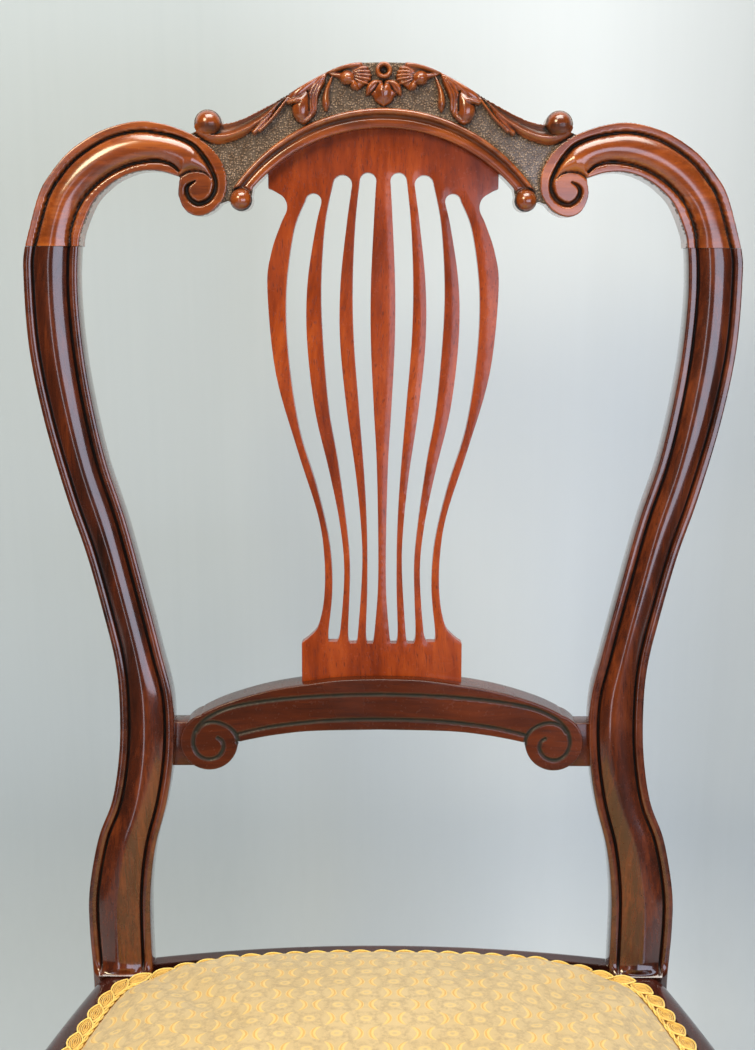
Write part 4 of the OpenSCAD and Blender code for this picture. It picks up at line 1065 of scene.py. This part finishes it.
def railSection(t, r, rebate):
    # section of a rail from the foot of its outer face, round the top, to the inside
    top, low, web = chair["railTop"], railLow, chair["webTop"]
    rows = [(-1.5, low), (-0.4, low + 0.4), (0.0, low + 1.5), (0.0, (low + top) / 2), (0.0, top - r)]
    rows += [(-r + r * math.cos(math.radians(a)), top - r + r * math.sin(math.radians(a))) for a in range(8, 91, 8)]
    inner = (min(rebate - 0.5, -t + 0.6), web) if rebate > -t + 1 else (rebate - 0.3, web - 0.1)
    return rows + [(-r, top), (rebate + 0.4, top), (rebate, top - 0.4), (rebate, web), inner,
                   (-t, web - 0.6), (-t, low + 1.5), (-t + 1.5, low)]


def sweptRail(name, node, stations, placeAt, sectionAt, material, flip=False):
    rings = [[placeAt(k, d, z) for d, z in sectionAt(k)] for k in stations]
    verts = np.array(rings).reshape(-1, 3) * mm
    makePiece(name, verts, tubeFaces(len(rings), len(rings[0]), flip), [node], material, sharp=38)


def buildRails():
    t, edge = chair["railThick"], chair["edgeRadius"]
    front = lambda x, d, z: (x, backY - frontC[1] - math.sqrt((frontR + d) ** 2 - x * x), z)
    back = lambda x, d, z: (x, backY - backC[1] + math.sqrt((backR + d) ** 2 - x * x), z)
    sweptRail("frontRail", "front_seat_rail", np.linspace(-legInX, legInX, 60), front,
              lambda x: railSection(t, edge, rebates["front"]), woods["rail"], True)
    sweptRail("backRail", "back_seat_rail", np.linspace(-postIn, postIn, 60), back,
              lambda x: railSection(chair["backRailThick"], 4.8, rebates["back"]), woods["rail"])
    inner = padHalf()[9:24][::-1]

    def section(f):
        outer = sideC[0] + math.sqrt(sideR ** 2 - (cornerF - f) ** 2)
        gap = np.interp(f, inner[:, 1], inner[:, 0]) + 0.3 - outer
        return railSection(t, edge, min(rebates["front"], max(-t + 0.8, gap)))

    stations = np.r_[np.linspace(0, 60, 24), np.linspace(65, legInF, 50)]
    for side, word in ((1, "right"), (-1, "left")):
        place = lambda f, d, z: (side * (sideC[0] + math.sqrt((sideR + d) ** 2 - (cornerF - f) ** 2)), backY - f, z)
        sweptRail(word + "SideRail", word + "_seat_rail", stations, place, section, woods["sideRail"], side < 0)


def buildFrontLeg(word):
    # a copy of the solid with its edges and facets worn smooth
    node = word + "_front_leg"
    piece = shown(word + "FrontLeg", bpy.data.meshes.new_from_object(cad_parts[node]))
    setAll(piece.modifiers.new("weld", "WELD"), {"merge_threshold": 1e-5})
    setAll(piece.modifiers.new("remesh", "REMESH"), {"mode": "VOXEL", "voxel_size": legSizes["voxel"] * mm})
    setAll(piece.modifiers.new("smooth", "SMOOTH"), {"iterations": legSizes["rounds"], "factor": 0.5})
    mesh = applied(piece)
    mesh.shade_smooth()
    finishPiece(piece, [node], woods["post"])
    print("piece", piece.name, "faces", len(mesh.polygons))


buildCrest()
print("stage: crest carved")
buildPost(1)
buildPost(-1)
print("stage: posts made")
buildMidRail()
buildSplat()
print("stage: middle rail and splat made")
buildRails()
buildFrontLeg("right")
buildFrontLeg("left")
print("stage: seat frame made")

# seat: webbing, hessian, padded cover, braid
damaskSizes = {"across": 15.5, "along": 13.8, "petalFrom": 9.6, "petalRadius": 7.0, "petalLong": 6.6,
               "petalWide": 1.75, "ring": (2.3, 1.9), "thread": 0.62}


def makeDamaskGroup():
    # woven figure in the plane of the seat: pairs of crescents, small rings between them
    s = damaskSizes
    g, given, out = newTree("Damask", "Shader", [("Vector", "Vector")],
                            [("Gold", "Float"), ("Edge", "Float"), ("Shade", "Float"), ("Height", "Float")])
    at = given["Vector"]
    x, y = parts(swayed(at, 160.0, 0.0009))[:2]
    u, v = x / (s["across"] * mm), y / (s["along"] * mm)
    cu, cv = maths("FLOOR", u), maths("FLOOR", v)
    odd = maths("FLOORED_MODULO", cu + cv, 2.0)
    even = 1.0 - odd
    lx, ly = (u - cu - 0.5) * s["across"], (v - cv - 0.5) * s["along"]
    ax, ay = abs(lx), abs(ly)
    off = longSide(ax - s["petalFrom"], ly) - s["petalRadius"]
    wide = maths("MAXIMUM", (1.0 - (ay / s["petalLong"]) ** 3.2) * s["petalWide"], 0.0)
    petal = spread(wide - abs(off), 0.0, 0.6)
    ring = spread(abs(longSide(lx / s["ring"][0], ly / s["ring"][1]) - 1.0), 0.6, 0.2, 0.0, 0.6)
    gold = maths("ADD", petal * even, ring * odd, clamp=True)
    edge = spread(wide * 0.38 - abs(off - 0.4), 0.0, 0.4) * even
    # grey between the petals round each pair
    here = longSide(lx, ly)
    beyond = maths("MINIMUM", longSide(s["across"] - ax, ly), longSide(lx, s["along"] - ay))
    net = spread(here * even + beyond * odd, 7.2, 9.4) * spread(here * odd + even * 9.0, 2.4, 4.4)
    patch = maths("MAXIMUM", net, spread(noise(at, 150.0, 2.0), 0.5, 0.72))
    turn = 2 * math.pi / (s["thread"] * mm)
    threads = maths("SINE", x * turn) * maths("SINE", y * turn)
    feed(out, {"Gold": gold, "Edge": edge, "Shade": patch * spread(noise(at, 420.0, 3.0, 0.7), 0.38, 0.6),
               "Height": threads * 0.12 + gold * 0.8 + edge * -0.35})
    return g


def makeThreadGroup():
    # plain weave in the XY plane with uneven threads, in metres
    g, given, out = newTree("Plain Weave", "Shader", [("Vector", "Vector"), ("Pitch", "Float", 0.0016)],
                            [("Tone", "Float"), ("Height", "Float")])
    at = given["Vector"]
    x, y = parts(swayed(at, 300.0, 0.0008))[:2]
    turn = math.pi / given["Pitch"]
    sx, sy = maths("SINE", x * turn), maths("SINE", y * turn)
    gaps = maths("MAXIMUM", abs(sx), abs(sy))
    tone = maths("ADD", spread(gaps, 0.2, 0.9) * 0.6, noise(at, 900.0, 3.0) * 0.6, clamp=True)
    feed(out, {"Tone": tone, "Height": sx * sy * 0.5 + spread(gaps, 0.1, 0.9) * 0.7})
    return g


def makeFabricMaterial(tones):
    m, at, shader = newMaterial("gold damask")
    w = useGroup(damaskGroup, {"Vector": at})
    c = blendColour(spread(noise(at, 22.0, 3.0), 0.35, 0.65), tint(*tones["base"]), tint(*tones["light"]))
    for key, amount in (("Shade", 0.55), ("Gold", 0.85), ("Edge", 0.75)):
        c = blendColour(w[key] * amount, c, tint(*tones[key]))
    feed(shader, {
        "Base Color": c, "Roughness": spread(w["Gold"], 0, 1, 0.82, 0.5), "Normal": bumped(w["Height"], 0.55, 0.0005),
        "Sheen Weight": 0.25, "Sheen Roughness": 0.5, "Specular IOR Level": 0.3})
    return m


def makeCordMaterial(tones):
    # silky twisted cord
    m, at, shader = newMaterial("gold cord")
    twist = noise(mapped(at, Rotation=(0, 0, math.radians(45))), 1400.0, 2.0)
    dark, light, worn, under = [tint(*c) for c in tones]
    c = blendColour(spread(twist, 0.35, 0.65), dark, light)
    c = blendColour(spread(noise(at, 90.0, 2.0), 0.5, 0.7) * 0.35, c, worn)
    # the inner loops are blended towards the under colour by their tone: painted shade inside each leaf
    feed(shader, {
        "Base Color": blendColour(attribute(at.tree, "tone"), under, c),
        "Roughness": spread(twist, 0.3, 0.7, 0.45, 0.65), "Normal": bumped(twist, 0.6, 0.0003), "Sheen Weight": 0.3})
    return m


def makeWovenMaterial(name, pitch, dark, light, stain):
    m, at, shader = newMaterial(name)
    w = useGroup(threadGroup, {"Vector": at, "Pitch": pitch})
    c = blendColour(w["Tone"], tint(*dark), tint(*light))
    feed(shader, {
        "Base Color": blendColour(spread(noise(at, 18.0, 4.0), 0.5, 0.75) * 0.45, c, tint(*stain)),
        "Roughness": spread(w["Tone"], 0, 1, 0.95, 0.8), "Normal": bumped(w["Height"], 0.9, 0.0006)})
    return m


def makeMetalMaterial(name, colour, dull, roughness):
    m, at, shader = newMaterial(name)
    spots = noise(at, 500.0, 4.0, 0.7)
    feed(shader, {
        "Base Color": blendColour(spread(spots, 0.42, 0.62), tint(*colour), tint(*dull)),
        "Roughness": spread(spots, 0.4, 0.65, roughness, roughness + 0.3),
        "Metallic": spread(spots, 0.45, 0.6, 1.0, 0.6), "Normal": bumped(spots, 0.4, 0.0003)})
    return m


fabricTones = {
    "base": (198, 173, 124), "light": (206, 182, 134), "Shade": (158, 136, 104), "Gold": (230, 196, 118),
    "Edge": (208, 156, 76),
}
damaskGroup = makeDamaskGroup()
threadGroup = makeThreadGroup()
fabric = makeFabricMaterial(fabricTones)
cord = makeCordMaterial([(232, 192, 86), (250, 221, 124), (204, 146, 52), (222, 172, 76)])
jute = makeWovenMaterial("jute webbing", 0.0021, (92, 68, 42), (160, 128, 86), (70, 52, 34))
tapeCloth = makeWovenMaterial("gold tape", 0.0009, (150, 96, 30), (204, 146, 58), (160, 104, 36))
sacking = makeWovenMaterial("hessian", 0.0013, (88, 66, 42), (178, 148, 104), (110, 84, 54))
brass = makeMetalMaterial("old brass", (176, 136, 70), (84, 62, 36), 0.32)
blued = makeMetalMaterial("blued steel", (78, 82, 92), (54, 38, 30), 0.38)

padSizes = {
    "step": 5.0, "crown": 28.0, "rimIn": 0.8, "footIn": 11.3, "backLap": 8.0, "lowZ": 410.95, "rimZ": 412.15,
    "cap": 5.0, "frames": 20, "centre": (0.0, backY - chair["seatDepth"] * 0.46),
}
clothSettings = {
    "quality": 5, "mass": 0.3, "tension_stiffness": 30, "compression_stiffness": 30, "bending_stiffness": 4,
    "use_pressure": True, "uniform_pressure_force": 4.0, "vertex_group_mass": "held",
}


def blownUp(piece, verts):
    # cloth simulation under pressure, with each point's move capped
    s = padSizes
    cloth = piece.modifiers.new("cloth", "CLOTH")
    setAll(cloth.settings, clothSettings)
    cloth.settings.effector_weights.gravity = 0
    cloth.collision_settings.use_collision = False
    cloth.point_cache.frame_start, cloth.point_cache.frame_end = 1, s["frames"]
    for k in range(1, s["frames"] + 1):
        bpy.context.scene.frame_set(k)
    now = np.zeros(len(verts) * 3)
    evaluated(piece).to_mesh().vertices.foreach_get("co", now)
    shift = now.reshape(-1, 3) - verts
    size = np.linalg.norm(shift, axis=1)
    print("seat pad: most moved", round(size.max() / mm, 2), "mm, mean", round(size.mean() / mm, 2))
    shift *= (np.minimum(size, s["cap"] * mm) / np.maximum(size, 1e-9))[:, None]
    piece.modifiers.clear()
    bpy.context.scene.frame_set(1)
    piece.data.vertices.foreach_set("co", (verts + shift).ravel())
    piece.data.update()


def buildPad():
    s = padSizes
    loop, edge = padEdge(4.0, s["rimIn"]), padEdge(4.0)
    lap = s["backLap"] * unit((edge[:, 1:] - backY + 6) / 14)
    rings = [shiftedLoop(edge, s["footIn"] - lap + d) for d in (0.0, 0.7, 1.8, 3.4, 5.8, 9.0)]
    centre = np.array(s["centre"])
    polar = lambda points: (np.arctan2(*(points - centre).T[::-1]), np.linalg.norm(points - centre, axis=1))
    footTurn, footFar = polar(rings[0])
    order = np.argsort(footTurn)

    def domed(points):
        turn, far = polar(points)
        r = far / np.interp(turn, footTurn[order], footFar[order], period=2 * math.pi)
        return s["rimZ"] + s["crown"] * unit(1 - r ** 2.6) ** 0.44

    grid = filling([loop], s["step"], 3.0, lambda g: inLoop(g, shiftedLoop(loop, 23.0)))
    v, f, rim = triangulated([loop], np.vstack(rings + [grid]))
    bv, bf, brim = triangulated([loop], filling([loop], 12.0, 6.0))
    n = len(v)
    faces = [f, bf[:, ::-1] + n]
    low = [i + n for i in brim]
    for a, b, c, d in zip(rim, rim[1:] + rim[:1], low[1:] + low[:1], low):
        faces.append([[a, d, c], [a, c, b]])
    verts = np.vstack([np.c_[v, domed(v)], np.c_[bv, np.full(len(bv), s["lowZ"])]]) * mm
    piece = newPiece("seatPad", verts, np.vstack(faces))
    held = piece.vertex_groups.new(name="held")
    held.add([i for i, p in enumerate(verts) if p[2] < (s["rimZ"] + 0.3) * mm], 1.0, "REPLACE")
    blownUp(piece, verts)
    piece.vertex_groups.clear()
    setAll(piece.modifiers.new("finer", "SUBSURF"), {"levels": 1, "render_levels": 1})
    mesh = applied(piece)
    mesh.shade_smooth()
    finishPiece(piece, ["seat_cover", "seat_stuffing"], fabric)
    print("seat pad: faces", len(mesh.polygons))


braidSizes = {"Pitch": 13.4, "Cord Radius": 0.00058, "Loop Length": 0.0156, "Loop Width": 0.0086, "Slant": 0.16,
              "Rise": 0.09, "Inset": 0.0050, "Inner Inset": 0.0096, "Height": 0.4139}
braidLoops = [
    # share of the full size, points, height, tone; a low tone darkens the inner loops as painted shade
    (1.0, 22, 0.0003, 1.0), (0.72, 18, 0.0001, 0.1), (0.46, 14, 0.0002, 0.55), (0.18, 10, 0.0002, 0.2)]
tapeRows = [(3.4, 412.35), (3.4, 412.75), (10.4, 412.9), (10.4, 412.35)]


def makeBraidGroup():
    # overlapping leaf-shaped loops of fine cord, and two wavy cords along their inner edge
    g, given, out = newTree("Gimp Braid", "Geometry", [
        ("Geometry", "Geometry"), ("Loops", "Int", 100), ("Cord Radius", "Float", 0.0005),
        ("Loop Length", "Float", 0.014), ("Loop Width", "Float", 0.008), ("Slant", "Float", 0.3),
        ("Rise", "Float", 0.05), ("Material", "Material")], [("Geometry", "Geometry")])
    n = lambda kind, inputs=None, output=0, **settings: wireOf(g, "GeometryNode" + kind, inputs, output, **settings)
    vector = lambda *xyz: wireOf(g, "ShaderNodeCombineXYZ", dict(enumerate(xyz)))
    circle = lambda count, radius: n("CurvePrimitiveCircle", {"Resolution": count, "Radius": radius})

    def joined(wires):
        join = addNode(g, "GeometryNodeJoinGeometry")
        for wire in wires:
            feed(join, {0: wire})
        return Wire(join.outputs[0])

    def tube(curve, profile, tone):
        return n("StoreNamedAttribute", {
            "Geometry": n("CurveToMesh", {"Curve": curve, "Profile Curve": profile}), "Name": "tone", "Value": tone},
            data_type="FLOAT", domain="POINT")

    path = n("MeshToCurve", {0: given["Geometry"]})
    spots = addNode(g, "GeometryNodeCurveToPoints", {"Curve": path, "Count": given["Loops"]}, mode="COUNT")
    thick, thin = circle(5, given["Cord Radius"]), circle(5, given["Cord Radius"] * 0.72)
    loops = []
    for share, count, up, tone in braidLoops:
        long = given["Loop Length"] * (1 - (1 - share) * 0.72)
        oval = n("Transform", {"Geometry": circle(count, 0.5), "Translation": (0, 0, up),
                               "Scale": vector(long, given["Loop Width"] * share, 1.0)})
        # the ends of the oval are drawn to points
        x, y, z = parts(n("InputPosition"))
        u = x / (long * 0.5)
        pinched = vector(x, y * (1.0 - abs(u) ** 2.0 * 0.62), z + u * u * -0.0003)
        shaped = n("SetPosition", {"Geometry": oval, "Position": pinched})
        loops.append(tube(shaped, thin if loops else thick, tone))
    leaf = n("Transform", {"Geometry": joined(loops), "Rotation": vector(0.0, given["Rise"], given["Slant"])})
    aim = wireOf(g, "FunctionNodeAlignRotationToVector", {"Vector": spots.outputs["Tangent"]}, axis="X", pivot_axis="Z")
    copies = n("InstanceOnPoints", {"Points": spots.outputs[0], "Instance": leaf, "Rotation": aim})
    cords = [n("RealizeInstances", {0: copies})]
    fine = n("ResampleCurve", {"Curve": path, "Count": 1400}, mode="COUNT")
    turned = n("SplineParameter", output="Factor") * (given["Loops"] * (2 * math.pi))
    side = wireOf(g, "ShaderNodeVectorMath", {0: n("InputTangent"), 1: (0, 0, 1)}, operation="CROSS_PRODUCT")
    inwards = braidSizes["Inner Inset"] - braidSizes["Inset"]
    for shift in (0.0, math.pi):
        phase = turned + shift
        off = wireOf(g, "ShaderNodeVectorMath", {0: side, "Scale": maths("SINE", phase) * 0.0007 - inwards},
                     operation="SCALE")
        moved = wireOf(g, "ShaderNodeVectorMath", {0: off, 1: vector(0.0, 0.0, maths("COSINE", phase) * 0.00045)},
                       operation="ADD")
        cords.append(tube(n("SetPosition", {"Geometry": fine, "Offset": moved}), thick, 1.0))
    dressed = n("SetMaterial", {"Geometry": joined(cords), "Material": given["Material"]})
    feed(out, {0: n("SetShadeSmooth", {0: dressed})})
    return g


def buildBraid():
    s = braidSizes
    loop = evenly(padEdge(3.0, s["Inset"] / mm), 3.0, closed=True)
    count = len(loop)
    piece = newPiece("gimpBraid", np.c_[loop * mm, np.full(count, s["Height"])], [],
                     [(k, (k + 1) % count) for k in range(count)])
    long = np.linalg.norm(loop - np.roll(loop, 1, 0), axis=1).sum()
    braid = piece.modifiers.new("braid", "NODES")
    braid.node_group = makeBraidGroup()
    values = dict(s, Material=cord, Loops=int(round(long / s["Pitch"])))
    for item in braid.node_group.interface.items_tree:
        if item.in_out == "INPUT" and item.name in values:
            braid[item.identifier] = values[item.name]
    print("braid: faces", len(applied(piece).polygons))
    finishPiece(piece, ["gimp_braid"])
    # the flat tape that carries the loops; its darker gold shows between the cords as painted shade
    lines = [padEdge(3.0, inset) for inset, z in tapeRows]
    verts = np.vstack([np.c_[line, np.full(len(line), row[1])] for line, row in zip(lines, tapeRows)]) * mm
    k = len(lines[0])
    faces = []
    for a, b in ((0, k), (k, 2 * k), (2 * k, 3 * k), (3 * k, 0)):
        faces += [(b + j, b + (j + 1) % k, a + (j + 1) % k, a + j) for j in range(k)]
    makePiece("braidTape", verts, faces, (), tapeCloth, sharp=50)


strapSizes = {
    "wide": 50.0, "thick": 1.2, "low": 406.75, "high": 408.25, "thinEdge": 0.55, "steps": 70, "sides": 9,
    "longStep": chair["rearWidth"] * 0.26, "crossStep": (chair["seatDepth"] - 100.0) / 3.4, "crossFirst": 60.0,
}


def strapEnds(fixed, lengthwise):
    # where a line across the seat is inside the pad
    t = np.arange(-300, 300, 1.0)
    points = np.c_[np.full(len(t), fixed), t][:, ::1 if lengthwise else -1]
    hit = t[inLoop(points, padEdge(3.0, 1.0))]
    return hit.min(), hit.max()


def buildStraps():
    s = strapSizes
    steps, n = s["steps"], s["sides"]
    longX = [(k - 1) * s["longStep"] for k in range(3)]
    crossY = [backY - s["crossFirst"] - k * s["crossStep"] for k in range(4)]
    sides = np.linspace(-s["wide"] / 2, s["wide"] / 2, n)
    # round the edge of a strap: up one side, along its end, down the other side and back
    rim = [q * n for q in range(steps + 1)] + [steps * n + k for k in range(1, n)] \
        + [q * n + n - 1 for q in range(steps - 1, -1, -1)] + list(range(n - 2, 0, -1))
    for word, turn, places, crossed in (("lengthwise", 1, longX, crossY), ("crosswise", -1, crossY, longX)):
        mean, bound = (s["low"], max) if turn > 0 else (s["high"], min)
        verts, faces = [], []
        for index, fixed in enumerate(places):
            ends = [strapEnds(fixed + d, turn > 0) for d in sides]
            over = (index + (turn < 0)) % 2
            rows = []
            for q in range(steps + 1):
                for d, (start, stop) in zip(sides, ends):
                    t = start + (stop - start) * q / steps
                    wave = sum((1 if j % 2 == over else -1) * math.exp(-((t - c) / 26.0) ** 4)
                               for j, c in enumerate(crossed))
                    z = mean + (s["high"] - s["low"]) * bound(0, wave)
                    rows.append((fixed + d, t)[::turn] + (z,))
            high, low = len(verts), len(verts) + len(rows)
            for first, h in ((high, s["thick"] / 2), (low, -s["thick"] / 2)):
                verts += [(x, y, z + h * (s["thinEdge"] if k % n in (0, n - 1) else 1))
                          for k, (x, y, z) in enumerate(rows)]
                for q in range(first, first + steps * n, n):
                    faces += [(q + k, q + k + 1, q + n + k + 1, q + n + k)[::turn if h > 0 else -turn]
                              for k in range(n - 1)]
            faces += [(high + a, high + b, low + b, low + a)[::turn] for a, b in zip(rim, rim[1:] + rim[:1])]
        makePiece(word + "Straps", np.array(verts) * mm, faces, ["webbing_" + word], jute)


hessianSizes = {"z": 410.25, "dip": 0.25, "halfThick": 0.25}


def buildHessian():
    s = hessianSizes
    loop = padEdge(5.0, 1.0)
    v, f, rim = triangulated([loop], filling([loop], 9.0, 4.0))
    z = s["z"] - s["dip"] * np.abs(np.sin(v[:, 0] / 27.0) * np.sin(v[:, 1] / 31.0))
    n = len(v)
    verts = np.vstack([np.c_[v, z + s["halfThick"]], np.c_[v, z - s["halfThick"]]]) * mm
    faces = [tuple(q) for q in f] + [tuple(q[::-1] + n) for q in f]
    faces += [(a + n, b + n, b, a) for a, b in zip(rim, rim[1:] + rim[:1])]
    piece = makePiece("hessianSheet", verts, faces, ["hessian"], sacking)
    area = float(polygonTurn(loop) / 2 * mm * mm)
    span = (loop.max(0) - loop.min(0)) * mm
    print("hessian: area", round(area, 4), "span", span)


def dressNode(node, material):
    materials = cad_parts[node].data.materials
    materials.clear()
    materials.append(material)


buildPad()
print("stage: seat pad made")
buildBraid()
buildStraps()
buildHessian()
dressNode("webbing_tacks", blued)
dressNode("corner_block_screws", brass)
for node in ("crest_dowels", "seat_rail_dowels", "back_left_corner_block", "back_right_corner_block",
             "front_left_corner_block", "front_right_corner_block"):
    dressNode(node, woods["beech"])
print("stage: seat made")

# stage, lights, camera
room = {
    "wallY": 0.52, "wallWide": 3.4, "wallHigh": 2.6, "bend": 0.3, "floorDeep": 2.6,
    # pale: the lighter middle of the wall, painted light
    "low": (180, 190, 196), "high": (182, 192, 195), "pale": (209, 217, 221), "right": (183, 190, 192),
    "brush": (245, 248, 250), "sky": (226, 230, 236), "skyStrength": 0.36, "skyInGloss": 0.04,
}


def buildRoom():
    m, at, shader = newMaterial("painted wall")
    tree, tone = at.tree, lambda key: tint(*room[key])
    x, y, z = parts(at)
    plain = blendColour(spread(z, 0.25, 1.0), tone("low"), tone("high"))
    # a lighter band up the middle of the wall, then back to grey at the right: painted light where the chair's shade
    # falls on the wall
    wall = blendColour(spread(x, -0.13, 0.12), plain, tone("pale"))
    wall = blendColour(spread(x, 0.15, 0.28), wall, tone("right"))
    c = blendColour(spread(y, 0.25, 0.45), plain, wall)     # the floor stays plain
    brush = noise(mapped(at, Scale=(1, 1, 0.03)), 160.0, 3.0)
    feed(shader, {"Base Color": blendColour(brush * 0.05, c, tone("brush")), "Roughness": 0.85,
                  "Specular IOR Level": 0.2})
    # the wall can't be seen from behind
    clear = addNode(tree, "ShaderNodeBsdfTransparent")
    behind = addNode(tree, "ShaderNodeNewGeometry").outputs["Backfacing"]
    mix = addNode(tree, "ShaderNodeMixShader", {0: behind, 1: shader.outputs[0], 2: clear.outputs[0]})
    feed([n for n in tree.nodes if n.type == "OUTPUT_MATERIAL"][0], {0: mix.outputs[0]})
    wallY, r, half = room["wallY"], room["bend"], room["wallWide"] / 2
    path = [(wallY, room["wallHigh"])]
    path += [(wallY - r + r * math.cos(math.radians(a)), r - r * math.sin(math.radians(a))) for a in range(0, 91, 6)]
    path += [(-room["floorDeep"], 0.0)]
    piece = newPiece("paleRoom", [(side, a, b) for a, b in path for side in (-half, half)],
                     [(i + 2, i + 3, i + 1, i) for i in range(0, 2 * len(path) - 2, 2)])
    piece.data.materials.append(m)


lamps = [
    # name, place, aim, width, height, watts, colour
    ("overhead", (0.1, -0.25, 2.3), (0.0, 0.12, 0.6), 1.3, 0.8, 28, (1.0, 0.95, 0.86)),
    ("warmLamp", (-0.95, -1.25, 2.05), (0.0, 0.15, 0.8), 0.64, 0.64, 25, (1.0, 0.83, 0.54)),
    ("windowRight", (0.86, -1.43, 0.95), (-0.1, 0.15, 0.8), 1.6, 0.8, 16, (0.74, 0.80, 1.0)),
    ("windowLeft", (-0.75, -1.75, 0.9), (0.0, 0.15, 0.8), 0.18, 1.3, 2.5, (0.80, 0.86, 1.0)),
    ("wallWash", (0.4, 0.0, 2.5), (0.2, 0.55, 1.0), 1.6, 0.3, 4.6, (0.97, 1.0, 1.0)),
]
camera = {"lens": 53.8, "place": (-0.0036, -0.6574, 0.9739), "down": 19, "roll": -0.003}


def buildLamps():
    for name, place, aim, w, h, watts, colour in lamps:
        lamp = shown(name, setAll(bpy.data.lights.new(name, "AREA"), {
            "shape": "RECTANGLE", "size": w, "size_y": h, "energy": watts, "color": colour}))
        lamp.location = place
        lamp.rotation_euler = (Vector(aim) - Vector(place)).to_track_quat("-Z", "Y").to_euler()
    world = bpy.data.worlds.new("pale")
    bpy.context.scene.world = world
    world.use_nodes = True
    glossy = wireOf(world.node_tree, "ShaderNodeLightPath", output="Is Glossy Ray")
    feed(world.node_tree.nodes["Background"], {
        0: tint(*room["sky"]), 1: spread(glossy, 0, 1, room["skyStrength"], room["skyInGloss"])})


def buildCamera():
    obj = shown("camera", setAll(bpy.data.cameras.new("camera"), {
        "sensor_width": 36, "sensor_fit": "AUTO", "lens": camera["lens"]}))
    obj.location = camera["place"]
    obj.rotation_euler = (math.radians(90 - camera["down"]), camera["roll"], 0)
    bpy.context.scene.camera = obj


buildRoom()
buildLamps()
buildCamera()
bpy.context.scene.view_settings.view_transform = "Standard"
print("stage: room, lamps and camera set")
